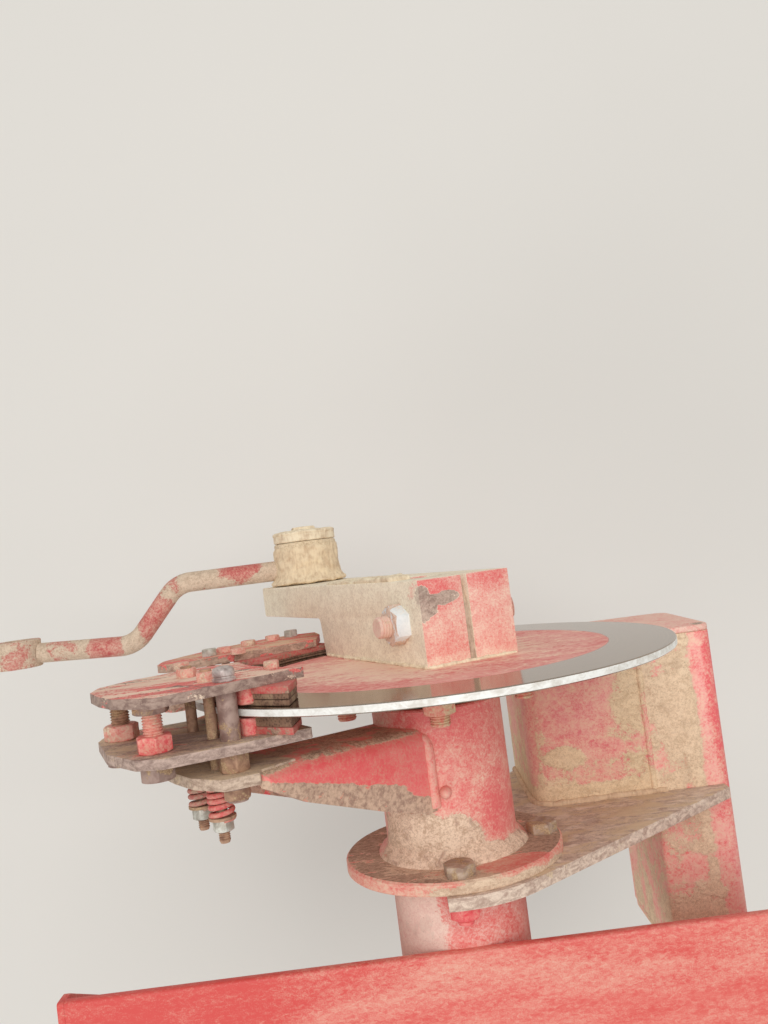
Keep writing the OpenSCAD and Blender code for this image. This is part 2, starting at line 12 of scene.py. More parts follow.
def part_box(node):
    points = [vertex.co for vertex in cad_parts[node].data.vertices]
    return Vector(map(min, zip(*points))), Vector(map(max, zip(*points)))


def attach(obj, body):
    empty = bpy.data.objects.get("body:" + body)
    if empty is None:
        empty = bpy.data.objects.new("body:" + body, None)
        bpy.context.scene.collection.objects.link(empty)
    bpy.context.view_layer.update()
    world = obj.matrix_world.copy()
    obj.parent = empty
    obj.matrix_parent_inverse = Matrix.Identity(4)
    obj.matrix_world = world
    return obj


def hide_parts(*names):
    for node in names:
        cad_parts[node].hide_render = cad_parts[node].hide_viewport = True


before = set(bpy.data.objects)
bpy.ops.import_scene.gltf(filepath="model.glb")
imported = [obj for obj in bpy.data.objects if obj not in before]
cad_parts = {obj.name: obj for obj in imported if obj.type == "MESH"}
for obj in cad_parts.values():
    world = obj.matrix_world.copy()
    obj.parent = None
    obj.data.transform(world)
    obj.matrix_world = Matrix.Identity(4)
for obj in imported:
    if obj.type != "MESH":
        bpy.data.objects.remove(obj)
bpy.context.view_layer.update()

LOG = logging.getLogger("crank_and_brake")
Point = tuple[float, float]
Place = tuple[float, float, float]
Colour = tuple[int, int, int]
Shade = Union[Colour, bpy.types.NodeSocket]
Number = Union[float, "Value"]


# Places and outlines

def shaft_place() -> Vector:
    """Reads the middle of the disc's outer face from the frame.

    Returns:
        The place in millimetres.
    """
    low, high = (Vector(corner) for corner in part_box("shaft"))
    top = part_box("brake_disc")[1][1]
    return Vector([round(v * 1000, 2) for v in ((low.x + high.x) / 2, top, (low.z + high.z) / 2)])


@dataclass(frozen=True)
class Datum:
    """A place to build on: u and v span a drawing, w is its depth, all in millimetres."""

    origin: Vector
    u: Vector
    v: Vector
    w: Vector

    def at(self, a: float, b: float, c: float = 0.0) -> Vector:
        """Gives a place in metres from its distances along u, v and w."""
        return (self.origin + self.u * a + self.v * b + self.w * c) / 1000

    def moved(self, a: float, b: float, c: float = 0.0) -> "Datum":
        """Gives the same directions from another place."""
        return Datum(self.at(a, b, c) * 1000, self.u, self.v, self.w)


X, Y, Z = Vector((1, 0, 0)), Vector((0, 1, 0)), Vector((0, 0, 1))
AXIS = shaft_place()
DISC_R = 200.0
CRANK_TURN = math.radians(116)
CRANK_OFF = 5.0
CRANK_THROW = 272.0
PIN_X = round(CRANK_THROW * math.cos(CRANK_TURN) + CRANK_OFF * math.sin(CRANK_TURN), 3)
PIN_Z = round(CRANK_OFF * math.cos(CRANK_TURN) - CRANK_THROW * math.sin(CRANK_TURN), 3)

DISC = Datum(AXIS, X, Z, Y)
BEAM = Datum(AXIS, Y, Z, X)
CRANK = Datum(
    AXIS, Vector((math.cos(CRANK_TURN), 0, -math.sin(CRANK_TURN))), Y,
    Vector((math.sin(CRANK_TURN), 0, math.cos(CRANK_TURN)))).moved(0, 0, CRANK_OFF)
ARM = Datum(AXIS, Vector((-1, 0, 1)).normalized(), Y, Vector((1, 0, 1)).normalized())
PIN = DISC.moved(PIN_X, PIN_Z)


def past(over: float, angle: float) -> Point:
    """Gives a place in x and z from its distance past the disc's rim and its direction.

    Args:
        over: Millimetres past the rim, negative inside it.
        angle: Degrees from straight right.

    Returns:
        The place, in millimetres from the shaft's axis.
    """
    r = DISC_R + over
    return r * math.cos(math.radians(angle)), r * math.sin(math.radians(angle))


def arc(r: float, start: float, stop: float, steps: int, centre: Point = (0, 0)) -> list[Point]:
    """Gives points on an arc.

    Args:
        r: Radius in millimetres.
        start: First direction in degrees.
        stop: Last direction in degrees.
        steps: Number of chords.
        centre: The arc's centre.

    Returns:
        The points, first and last included.
    """
    turns = [math.radians(start + (stop - start) * i / steps) for i in range(steps + 1)]
    return [(centre[0] + r * math.cos(t), centre[1] + r * math.sin(t)) for t in turns]


def rounded(outline: Sequence[Point], radii: Union[float, Sequence[float]], steps: int = 6) -> list[Point]:
    """Rounds the corners of an outline.

    Args:
        outline: Corners in order.
        radii: One radius for all corners, or one for each, 0 for a corner that stays sharp.
        steps: Chords in each rounding.

    Returns:
        The new outline.
    """
    count = len(outline)
    each = [float(radii)] * count if isinstance(radii, (int, float)) else list(radii)
    points: list[Point] = []
    for i, r in enumerate(each):
        a, b, c = (Vector(outline[(i + k) % count]) for k in (-1, 0, 1))
        if r <= 0:
            points.append(tuple(b))
            continue
        before, after = (a - b).normalized(), (c - b).normalized()
        half = before.angle(after) / 2
        back = min(r / math.tan(half), (a - b).length * 0.48, (c - b).length * 0.48)
        start, stop = b + before * back, b + after * back
        for k in range(steps + 1):
            t = k / steps
            points.append(tuple(start * (1 - t) ** 2 + b * 2 * t * (1 - t) + stop * t ** 2))
    return points


def sector(r1: float, r2: float, start: float, stop: float, steps: int) -> list[Point]:
    """Gives the outline of a flat sector between two radii."""
    return arc(r2, start, stop, steps) + arc(r1, stop, start, steps)


def box_outline(a1: float, a2: float, b1: float, b2: float) -> list[Point]:
    """Gives the corners of a rectangle."""
    return [(a1, b1), (a2, b1), (a2, b2), (a1, b2)]


# Modelling

class Bench:
    """Makes and shapes meshes with Blender's own modelling operators."""

    @staticmethod
    def hold(obj: bpy.types.Object, editing: bool = False) -> None:
        """Selects one object alone.

        Args:
            obj: The object.
            editing: Whether it is opened for editing, with all of it selected.
        """
        bpy.ops.object.select_all(action="DESELECT")
        obj.select_set(True)
        bpy.context.view_layer.objects.active = obj
        if editing:
            bpy.ops.object.mode_set(mode="EDIT")
            bpy.ops.mesh.select_all(action="SELECT")

    @staticmethod
    def release() -> None:
        """Points all faces outwards and leaves editing."""
        bpy.ops.mesh.select_all(action="SELECT")
        bpy.ops.mesh.normals_make_consistent(inside=False)
        bpy.ops.object.mode_set(mode="OBJECT")

    @staticmethod
    def loop(name: str, places: Sequence[Vector]) -> bpy.types.Object:
        """Adds a circle and draws its corners out to the given places.

        Args:
            name: Name of the piece.
            places: Where the corners go, in metres.

        Returns:
            The closed loop of edges.
        """
        bpy.ops.object.select_all(action="DESELECT")
        bpy.ops.mesh.primitive_circle_add(vertices=len(places), radius=0.01, fill_type="NOTHING")
        obj = bpy.context.active_object
        obj.name = obj.data.name = name
        for vertex, place in zip(obj.data.vertices, places):
            vertex.co = place
        return obj

    @staticmethod
    def pick_edges(obj: bpy.types.Object, chosen: Callable[[bpy.types.MeshEdge], bool]) -> None:
        """Selects some edges of the piece that is open for editing, and no others.

        Args:
            obj: The piece.
            chosen: Tells whether an edge is selected.
        """
        bpy.ops.mesh.select_mode(type="EDGE")
        bpy.ops.mesh.select_all(action="DESELECT")
        bpy.ops.object.mode_set(mode="OBJECT")
        for edge in obj.data.edges:
            edge.select = chosen(edge)
        bpy.ops.object.mode_set(mode="EDIT")

    @classmethod
    def prism(cls, name: str, datum: Datum, outline: Sequence[Point], low: float,
              high: float) -> bpy.types.Object:
        """Fills an outline and extrudes it.

        Args:
            name: Name of the piece.
            datum: Where the outline is drawn, with its depth along w.
            outline: Corners along u and v.
            low: Where the extrusion starts along w.
            high: Where it stops.

        Returns:
            The closed piece.
        """
        obj = cls.loop(name, [datum.at(a, b, low) for a, b in outline])
        cls.hold(obj, editing=True)
        bpy.ops.mesh.edge_face_add()
        bpy.ops.mesh.extrude_region_move(TRANSFORM_OT_translate={"value": datum.w * ((high - low) / 1000)})
        cls.release()
        return obj

    @classmethod
    def turned(cls, name: str, datum: Datum, profile: Sequence[Point], steps: int = 48) -> bpy.types.Object:
        """Spins a profile round the datum's w direction.

        Args:
            name: Name of the piece.
            datum: Its origin lies on the axis.
            profile: Radius and height of each corner. It closes on itself unless it touches the axis.
            steps: Number of facets round the axis.

        Returns:
            The closed piece.
        """
        obj = cls.loop(name, [datum.at(r, 0, h) for r, h in profile])
        cls.hold(obj, editing=True)
        if min(r for r, _ in profile) <= 0:
            ends = {0, len(profile) - 1}
            cls.pick_edges(obj, lambda edge: set(edge.vertices) == ends)
            bpy.ops.mesh.delete(type="EDGE_FACE")
            bpy.ops.mesh.select_mode(type="VERT")
        bpy.ops.mesh.select_all(action="SELECT")
        bpy.ops.mesh.spin(steps=steps, angle=math.tau, center=datum.at(0, 0, 0), axis=datum.w)
        bpy.ops.mesh.select_all(action="SELECT")
        bpy.ops.mesh.remove_doubles(threshold=0.000002)
        cls.release()
        return obj

    @classmethod
    def drawn(cls, name: str, places: Sequence[Vector], radius: float, closed: bool = False,
              sides: int = 5) -> bpy.types.Object:
        """Draws a round bar through places as a curve and makes it a mesh.

        Args:
            name: Name of the piece.
            places: Points in metres.
            radius: Radius of the bar in millimetres.
            closed: Whether the bar joins its own start.
            sides: Curve resolution of a quarter of its section.

        Returns:
            The piece, with its ends closed.
        """
        curve = bpy.data.curves.new(name, "CURVE")
        curve.dimensions = "3D"
        curve.bevel_depth = radius / 1000
        curve.bevel_resolution = sides
        curve.use_fill_caps = not closed
        spline = curve.splines.new("POLY")
        spline.points.add(len(places) - 1)
        for point, place in zip(spline.points, places):
            point.co = (*place, 1)
        spline.use_cyclic_u = closed
        obj = bpy.data.objects.new(name, curve)
        bpy.context.scene.collection.objects.link(obj)
        cls.hold(obj)
        bpy.ops.object.convert(target="MESH")
        obj = bpy.context.active_object
        obj.name = obj.data.name = name
        cls.hold(obj, editing=True)
        bpy.ops.mesh.remove_doubles(threshold=0.000002)
        cls.release()
        return obj

    @classmethod
    def apply(cls, obj: bpy.types.Object, kind: str, **settings: object) -> None:
        """Adds a modifier, sets it and applies it.

        Args:
            obj: The piece.
            kind: The modifier's type.
            settings: Its properties.
        """
        modifier = obj.modifiers.new(kind.title(), kind)
        for key, value in settings.items():
            setattr(modifier, key, value)
        cls.hold(obj)
        bpy.ops.object.modifier_apply(modifier=modifier.name)

    @classmethod
    def cut(cls, obj: bpy.types.Object, *tools: bpy.types.Object, keep_common: bool = False) -> None:
        """Cuts other shapes away from a piece, or keeps what they share, and deletes them.

        Args:
            obj: The piece.
            tools: The other shapes.
            keep_common: Whether what they share is kept, and the rest goes.
        """
        for tool in tools:
            cls.apply(
                obj, "BOOLEAN", operation="INTERSECT" if keep_common else "DIFFERENCE", solver="EXACT",
                object=tool)
            bpy.data.objects.remove(tool)

    @classmethod
    def soften(cls, obj: bpy.types.Object, width: float, segments: int = 2, angle: float = 30) -> None:
        """Bevels the edges that turn by more than an angle, by a width in millimetres."""
        cls.apply(
            obj, "BEVEL", width=width / 1000, segments=segments, limit_method="ANGLE",
            angle_limit=math.radians(angle), use_clamp_overlap=True, harden_normals=False)

    @classmethod
    def round_edges(cls, obj: bpy.types.Object, chosen: Callable[[Vector, Vector], bool], width: float,
                    segments: int) -> None:
        """Bevels some edges by a width in millimetres.

        Args:
            obj: The piece.
            chosen: Tells from its two ends, in metres, whether an edge is bevelled.
            width: Width of the bevel.
            segments: Facets of the bevel.
        """
        cls.hold(obj, editing=True)
        cls.pick_edges(obj, lambda edge: chosen(*(obj.data.vertices[v].co for v in edge.vertices)))
        bpy.ops.mesh.bevel(offset=width / 1000, segments=segments, affect="EDGES")
        bpy.ops.mesh.select_mode(type="VERT")
        cls.release()

    @classmethod
    def rough(cls, obj: bpy.types.Object, depth: float, size: float, cell: float = 0.0) -> None:
        """Gives a piece an uneven skin.

        Args:
            obj: The piece.
            depth: Height of the unevenness in millimetres.
            size: Width of its lumps in millimetres.
            cell: Size of the even mesh that is laid over the piece first, or 0 to keep its own.
        """
        if cell:
            cls.apply(obj, "REMESH", mode="VOXEL", voxel_size=cell / 1000)
        clouds = bpy.data.textures.new(f"{obj.name}_lumps", "CLOUDS")
        clouds.noise_scale = size / 1000
        clouds.noise_depth = 3
        cls.apply(
            obj, "DISPLACE", texture=clouds, texture_coords="LOCAL", strength=depth / 1000, mid_level=0.5)
        bpy.data.textures.remove(clouds)

    @classmethod
    def hexagon(cls, name: str, datum: Datum, low: float, high: float, flats: float, turn: float = 0.0,
                both: bool = False) -> bpy.types.Object:
        """Makes a bolt head or nut with its corners turned off.

        Args:
            name: Name of the piece.
            datum: Its origin lies on the bolt's axis.
            low: Height of its seat.
            high: Height of its free face, which is chamfered.
            flats: Distance across flats.
            turn: Degrees that it is turned round its axis.
            both: Whether both faces are chamfered.

        Returns:
            The piece.
        """
        corner = flats / math.sqrt(3)
        obj = cls.prism(name, datum, arc(corner, turn, turn + 300, 5), low, high)
        sign = 1 if high > low else -1
        face, clear = flats * 0.485, corner * 1.02
        drop = (corner - face) * 0.62
        # The tool stands past both ends, because a cut between faces that coincide can fail
        over, rim = sign * drop / 2, face - (clear - face) / 2
        foot = low + sign * drop if both else low
        chamfer = cls.turned(f"{name}_chamfer", datum, [
            (0, low - over), (rim if both else clear, low - over), (clear, foot),
            (clear, high - sign * drop), (rim, high + over), (0, high + over)], steps=36)
        cls.cut(obj, chamfer, keep_common=True)
        cls.soften(obj, 0.35, segments=1, angle=25)
        return obj

    @classmethod
    def thread(cls, name: str, datum: Datum, low: float, high: float, d: float,
               pitch: float) -> bpy.types.Object:
        """Makes a threaded bar.

        Args:
            name: Name of the piece.
            datum: Its origin lies on the bar's axis.
            low: Height where it starts.
            high: Height of its free end.
            d: Diameter over the thread.
            pitch: Distance from one turn to the next.

        Returns:
            The piece.
        """
        sign = 1 if high > low else -1
        r, root = d / 2, d / 2 - pitch * 0.55
        rings = int(abs(high - low) / pitch)
        profile: list[Point] = [(0, low), (root, low)]
        for k in range(rings):
            start = low + sign * pitch * k
            profile += [
                (r, start + sign * pitch * 0.42), (r, start + sign * pitch * 0.58),
                (root, start + sign * pitch)]
        profile[-1] = (root, high)
        return cls.turned(name, datum, profile + [(0, high)], steps=24)

    @classmethod
    def spring(cls, name: str, datum: Datum, low: float, high: float, od: float, wire: float,
               turns: float) -> bpy.types.Object:
        """Winds a compression spring with flattened end turns.

        Args:
            name: Name of the piece.
            datum: Its origin lies on the spring's axis.
            low: Height of its foot.
            high: Height of its other end.
            od: Outer diameter.
            wire: Diameter of the wire.
            turns: Number of turns.

        Returns:
            The piece.
        """
        r = (od - wire) / 2
        steps = int(26 * turns)
        places = []
        for i in range(steps + 1):
            t = i / steps
            ease = t + 0.035 * math.sin(math.tau * t)
            h = low + wire / 2 + (high - low - wire) * min(max(1.1 * ease - 0.05, 0), 1)
            turn = math.tau * turns * t
            places.append(datum.at(r * math.cos(turn), r * math.sin(turn), h))
        return cls.drawn(name, places, wire / 2, sides=3)

    @classmethod
    def join(cls, name: str, *pieces: bpy.types.Object) -> bpy.types.Object:
        """Joins pieces into one object.

        Args:
            name: Name of the new object.
            pieces: The pieces, of which the first takes in the rest.

        Returns:
            The joined piece.
        """
        cls.hold(pieces[0])
        for piece in pieces:
            piece.select_set(True)
        if len(pieces) > 1:
            bpy.ops.object.join()
        obj = bpy.context.active_object
        obj.name = obj.data.name = name
        return obj


# Shader maths

class Value:
    """A number that varies over a surface and takes part in ordinary arithmetic."""

    def __init__(self, shader: "Shader", socket: bpy.types.NodeSocket) -> None:
        """Wraps an output socket."""
        self.shader = shader
        self.socket = socket

    def _maths(self, operation: str, *numbers: Number) -> "Value":
        """Adds a Math node on the given numbers."""
        return self.shader.value("ShaderNodeMath", {"operation": operation}, dict(enumerate(numbers)))

    def __add__(self, other: Number) -> "Value":
        """Adds."""
        return self._maths("ADD", self, other)

    def __sub__(self, other: Number) -> "Value":
        """Subtracts."""
        return self._maths("SUBTRACT", self, other)

    def __rsub__(self, other: Number) -> "Value":
        """Subtracts from a number."""
        return self._maths("SUBTRACT", other, self)

    def __mul__(self, other: Number) -> "Value":
        """Multiplies."""
        return self._maths("MULTIPLY", self, other)

    __radd__ = __add__
    __rmul__ = __mul__

    def step(self, low: float, high: float) -> "Value":
        """Rises smoothly from 0 to 1 between two numbers."""
        return self.shader.value("ShaderNodeMapRange", {"interpolation_type": "SMOOTHSTEP"}, {
            "Value": self, "From Min": low, "From Max": high}, "Result")

    def most(self, other: Number) -> "Value":
        """Gives the larger."""
        return self._maths("MAXIMUM", self, other)

    def least(self, other: Number) -> "Value":
        """Gives the smaller."""
        return self._maths("MINIMUM", self, other)


class Shader:
    """Builds one material's nodes."""

    def __init__(self, name: str) -> None:
        """Starts a material with its surface shader.

        Args:
            name: Name of the material.
        """
        self.material = bpy.data.materials.new(name)
        self.material.use_nodes = True
        self.tree = self.material.node_tree
        self.surface = self.tree.nodes["Principled BSDF"]
        places = self.tree.nodes.new("ShaderNodeTexCoord")
        self.place = places.outputs["Object"]
        split = self.node("ShaderNodeSeparateXYZ", {}, {"Vector": places.outputs["Normal"]})
        self.facing = {k: Value(self, split.outputs[k]) for k in "XYZ"}

    def node(self, kind: str, settings: dict, inputs: dict) -> bpy.types.Node:
        """Adds a node.

        Args:
            kind: The node's type.
            settings: Its properties, set first.
            inputs: Values or links of its sockets.

        Returns:
            The node.
        """
        node = self.tree.nodes.new(kind)
        for key, value in settings.items():
            setattr(node, key, value)
        self.feed(node, inputs)
        return node

    def feed(self, node: bpy.types.Node, inputs: dict) -> None:
        """Gives a node's sockets their values or links.

        Args:
            node: The node.
            inputs: A value or a link for each socket.
        """
        for key, value in inputs.items():
            source = value.socket if isinstance(value, Value) else value
            if isinstance(source, bpy.types.NodeSocket):
                self.tree.links.new(source, node.inputs[key])
            else:
                node.inputs[key].default_value = source

    def value(self, kind: str, settings: dict, inputs: dict, output: Union[int, str] = 0) -> Value:
        """Adds a node and wraps one of its outputs."""
        return Value(self, self.node(kind, settings, inputs).outputs[output])

    def spot(self, scale: Sequence[float], shift: float = 0.0) -> bpy.types.NodeSocket:
        """Gives the surface's place, stretched and shifted."""
        node = self.node("ShaderNodeMapping", {}, {
            "Vector": self.place, "Scale": tuple(scale), "Location": (shift, shift * 0.7, shift * 1.3)})
        return node.outputs[0]

    def noise(self, scale: float, shift: float = 0.0, detail: float = 3.0, warp: float = 0.0,
              stretch: Sequence[float] = (1, 1, 1)) -> Value:
        """Gives noise from 0 to 1 over the piece.

        Args:
            scale: Lumps in a metre.
            shift: Moves the pattern, so that two finishes differ.
            detail: How many finer layers it holds.
            warp: How twisted it is.
            stretch: Factors on x, y and z.

        Returns:
            The value, about 0.5 in the middle.
        """
        return self.value("ShaderNodeTexNoise", {}, {
            "Vector": self.spot(stretch, shift), "Scale": scale, "Detail": detail, "Roughness": 0.58,
            "Distortion": warp})

    def mix(self, share: Number, first: Shade, second: Shade) -> bpy.types.NodeSocket:
        """Mixes two colours.

        Args:
            share: How much of the second there is.
            first: One colour, written or from a socket.
            second: The other.

        Returns:
            The mixed colour.
        """
        first, second = (tuple(map(tone, c)) + (1.0,) if isinstance(c, tuple) else c for c in (first, second))
        node = self.node("ShaderNodeMix", {"data_type": "RGBA"}, {0: share, 6: first, 7: second})
        return node.outputs[2]

    def finish(self, colour: Shade, roughness: Number, metal: Number = 0.0, height: Optional[Value] = None,
               depth: float = 0.5) -> bpy.types.Material:
        """Feeds the surface shader.

        Args:
            colour: A colour socket.
            roughness: The roughness.
            metal: How metallic the surface is.
            height: Height of the relief, or nothing for a smooth one.
            depth: The relief's height in millimetres where height is 1.

        Returns:
            The material.
        """
        inputs = {"Base Color": colour, "Roughness": roughness, "Metallic": metal}
        if height is not None:
            bump = self.node("ShaderNodeBump", {}, {
                "Strength": 1.0, "Distance": depth / 1000, "Height": height})
            inputs["Normal"] = bump.outputs[0]
        self.feed(self.surface, inputs)
        return self.material


def tone(v: float) -> float:
    """Turns a written colour value from 0 to 255 into the linear value a shader works in."""
    c = v / 255
    return c / 12.92 if c <= 0.04045 else ((c + 0.055) / 1.055) ** 2.4


# Finishes

class Layer(Enum):
    """What a zone, side or boundary adds to."""

    DUST = "dust"
    BARE = "bare"
    FADE = "fade"


DUST, BARE, FADE = Layer


class Finish(Protocol):
    """What a piece is dressed in."""

    name: str

    def material(self) -> bpy.types.Material:
        """Builds the finish's material."""


@dataclass(frozen=True)
class Zone:
    """An egg-shaped place where a layer lies thicker, or thinner where more is negative."""

    layer: Layer
    centre: Place
    radii: Place
    more: float = 1.0

    def over(self, shader: Shader) -> Value:
        """Gives how much of the layer the zone adds at each place.

        Args:
            shader: The material under work.

        Returns:
            The amount, which fades out at the zone's edge.
        """
        x, y, z = self.centre
        middle = (AXIS + Vector((x, y, z))) / 1000
        factors = [1000 / r for r in self.radii]
        away = shader.node("ShaderNodeMapping", {}, {
            "Vector": shader.place, "Scale": tuple(factors),
            "Location": tuple(-m * f for m, f in zip(middle, factors))})
        length = shader.node("ShaderNodeVectorMath", {"operation": "LENGTH"}, {0: away.outputs[0]})
        reach = Value(shader, length.outputs["Value"])
        return (1 - reach.step(0.55, 1.15)) * self.more


@dataclass(frozen=True)
class Side:
    """Faces that look one way, where a layer lies thicker."""

    layer: Layer
    toward: Place
    more: float = 1.0

    def over(self, shader: Shader) -> Value:
        """Gives how much of the layer the side adds at each place.

        Args:
            shader: The material under work.

        Returns:
            The amount, full on faces that look the given way.
        """
        x, y, z = Vector(self.toward).normalized()
        facing = shader.facing["X"] * x + shader.facing["Y"] * y + shader.facing["Z"] * z
        return facing.step(0.5, 0.85) * self.more


@dataclass(frozen=True)
class Beyond:
    """Everything past a flat boundary, where a layer lies thicker."""

    layer: Layer
    start: Place
    toward: Place
    more: float = 1.0
    soft: float = 8.0

    def over(self, shader: Shader) -> Value:
        """Gives how much of the layer lies past the boundary at each place.

        Args:
            shader: The material under work.

        Returns:
            The amount, which rises over the boundary's soft width.
        """
        way = Vector(self.toward).normalized()
        begin = (AXIS + Vector(self.start)) / 1000
        away = shader.value(
            "ShaderNodeVectorMath", {"operation": "DOT_PRODUCT"}, {0: shader.place, 1: tuple(way)}, "Value")
        depth = (away - begin.dot(way)) * 1000
        return depth.step(-self.soft / 2, self.soft / 2) * self.more


@dataclass(frozen=True)
class Weathered:
    """Old paint with caked dust, chips down to rust and a bleached face."""

    name: str
    paint: Colour = (196, 62, 64)
    faded: Colour = (222, 122, 114)
    dust: Colour = (222, 194, 158)
    dust_dark: Colour = (196, 166, 132)
    bare: Colour = (132, 102, 84)
    bare_dark: Colour = (84, 62, 52)
    fade: float = 0.4
    dusty: float = 0.2
    settle: float = 0.15
    chipped: float = 0.15
    grain: float = 20.0
    stretch: Place = (1, 1, 1)
    gloss: float = 0.45
    relief: float = 0.5
    speckled: float = 0.45
    fibre: Place = (1, 1, 1)
    sharp: float = 1.0
    stained: float = 0.15
    seed: float = 0.0
    zones: tuple[Union[Zone, Side, Beyond], ...] = ()

    def _level(self, shader: Shader, layer: Layer, start: Value) -> Value:
        """Adds the zones of one layer to its level.

        Args:
            shader: The material under work.
            layer: The layer.
            start: Its level without the zones.

        Returns:
            Its level with them.
        """
        level = start
        for zone in self.zones:
            if zone.layer is layer:
                level = level + zone.over(shader)
        return level

    def material(self) -> bpy.types.Material:
        """Builds the finish.

        Returns:
            The material.
        """
        s = Shader(self.name)
        big = s.noise(self.grain, self.seed, 4, 0.6, self.stretch)
        mid = s.noise(self.grain * 4.1, self.seed + 3, 4, 0.5, self.stretch)
        other = s.noise(self.grain * 1.6, self.seed + 7, 5, 0.9, self.stretch)
        hair = s.noise(430, self.seed + 5, 5, 0.7, self.fibre)
        fine = s.noise(900, self.seed + 1, 2)
        ragged = (mid - 0.5) * 0.6 + (hair - 0.5) * 0.4
        up = s.facing["Z"].most(0)
        dust_level = self._level(s, DUST, (big - 0.5) * 1.5 + ragged + up * self.settle + self.dusty)
        bare_level = self._level(s, BARE, (other - 0.5) * 1.1 + ragged + self.chipped)
        fade_level = self._level(s, FADE, (mid - 0.5) * 0.8 * self.sharp + (other - 0.5) * 0.7
                                 + (hair - 0.5) * self.sharp + self.fade)
        caked = (dust_level + (fine - 0.5) * 0.35).step(0.42, 0.57)
        haze = (dust_level * 0.5 + (mid - 0.5) * 0.7 * self.sharp + (hair - 0.5) * 1.5 * self.sharp
                + (fine - 0.5) * 1.1 + self.speckled).step(-0.05, 1.35)
        bare = bare_level.step(0.5, 0.53)
        lip = bare_level.step(0.44, 0.5) - bare
        skin = s.mix(fade_level.step(0.1, 0.8), self.paint, self.faded)
        rust = s.mix((
            s.noise(
                self.grain * 9, self.seed + 4,
                4) * 0.6 + hair * 0.4).step(0.36, 0.62), self.bare_dark, self.bare)
        skin = s.mix(bare, skin, rust)
        skin = s.mix((haze * (0.85 - bare * 0.3) + lip.most(0) * 0.8).least(0.92), skin, self.dust)
        cake = s.mix((
            (mid - 0.5) * 0.9 + (
                hair - 0.5) * 1.5 + (fine - 0.5) * 0.8 + 0.56).step(0.2, 0.85), self.dust_dark, self.dust)
        blots = (s.noise(self.grain * 3.2, self.seed + 9, 5, 0.6) + (hair - 0.5) * 0.3).step(0.56, 0.66)
        cake = s.mix(blots * self.stained, cake, self.bare)
        crumbs = s.noise(640, self.seed + 8, 2).step(0.66, 0.73)
        cake = s.mix(crumbs * 0.45, cake, self.bare)
        skin = s.mix(caked, skin, cake)
        height = (dust_level.step(0.3, 0.75) * (0.8 + hair * 0.5) - bare * 0.4 + mid * 0.2
                  + hair * 0.25 * (1 - bare) + fine * 0.12 + haze * 0.1)
        rough = (caked * 0.5 + haze * 0.35 + bare * 0.35 + fine * 0.15 + self.gloss).least(0.95)
        return s.finish(skin, rough, 0.0, height, self.relief)


@dataclass(frozen=True)
class WornPlate:
    """Flame-cut plate whose paint is worn to grey-brown steel in streaks."""

    name: str
    steel: Colour = (170, 148, 130)
    dark: Colour = (112, 90, 76)
    paint: Colour = (230, 140, 128)
    paint_deep: Colour = (212, 90, 86)
    dust: Colour = (216, 190, 156)
    painted: float = 0.3
    dusty: float = 0.3
    streak: Place = (0.25, 1.0, 1.0)
    crisp: float = 0.2
    patchy: float = 1.4
    seed: float = 0.0

    def material(self) -> bpy.types.Material:
        """Builds the finish.

        Returns:
            The material.
        """
        s = Shader(self.name)
        streaks = s.noise(210, self.seed, 5, 0.8, self.streak)
        long = s.noise(48, self.seed + 2, 5, 0.8, self.streak)
        hair = s.noise(480, self.seed + 4, 3, 1.2)
        flat = s.facing["Y"].most(0)
        up = s.facing["Z"].most(0)
        colour = s.mix((streaks * 0.7 + hair * 0.3).step(0.36, 0.64), self.dark, self.steel)
        paint_level = (long - 0.5) * 1.7 + (streaks - 0.5) * 0.9 + self.painted + flat * 0.2 - up * 0.45
        painted = paint_level.step(0.48, 0.54)
        colour = s.mix(painted, colour, s.mix(hair.step(0.34, 0.66), self.paint_deep, self.paint))
        patches = s.noise(70, self.seed + 6, 4, 0.7, self.streak)
        dust_level = (patches - 0.5) * self.patchy + (hair - 0.5) * 0.9 + self.dusty + flat * 0.24 - up * 0.14
        dusted = dust_level.step(0.46 - self.crisp, 0.46 + self.crisp) * 0.85
        colour = s.mix(dusted, colour, self.dust)
        height = painted * 0.5 + dusted * 0.5 + streaks * 0.5 + hair * 0.4
        rough = (0.62 + hair * 0.2 + dusted * 0.15).least(0.95)
        return s.finish(colour, rough, 0.0, height, 0.4)


@dataclass(frozen=True)
class Metal:
    """Bare or zinc-plated steel with stains."""

    name: str
    bright: Colour = (222, 222, 216)
    dull: Colour = (168, 164, 154)
    stain: Colour = (150, 116, 88)
    stained: float = 0.25
    shine: float = 0.6
    roughness: float = 0.38
    seed: float = 0.0

    def material(self) -> bpy.types.Material:
        """Builds the finish.

        Returns:
            The material.
        """
        s = Shader(self.name)
        cloud = s.noise(130, self.seed, 4, 0.4)
        fine = s.noise(900, self.seed + 2, 3)
        colour = s.mix(cloud.step(0.35, 0.65), self.dull, self.bright)
        stained = ((s.noise(75, self.seed + 5, 5, 0.8) - 0.5) * 1.6 + (fine - 0.5) * 0.4 + self.stained)
        mask = stained.step(0.45, 0.62)
        colour = s.mix(mask, colour, s.mix(fine.step(0.3, 0.7), self.stain, (196, 168, 132)))
        metal = (1 - mask) * self.shine
        rough = (cloud * 0.16 + mask * 0.4 + self.roughness).least(0.95)
        return s.finish(colour, rough, metal, cloud * 0.4 + fine * 0.3 + mask * 0.4, 0.2)


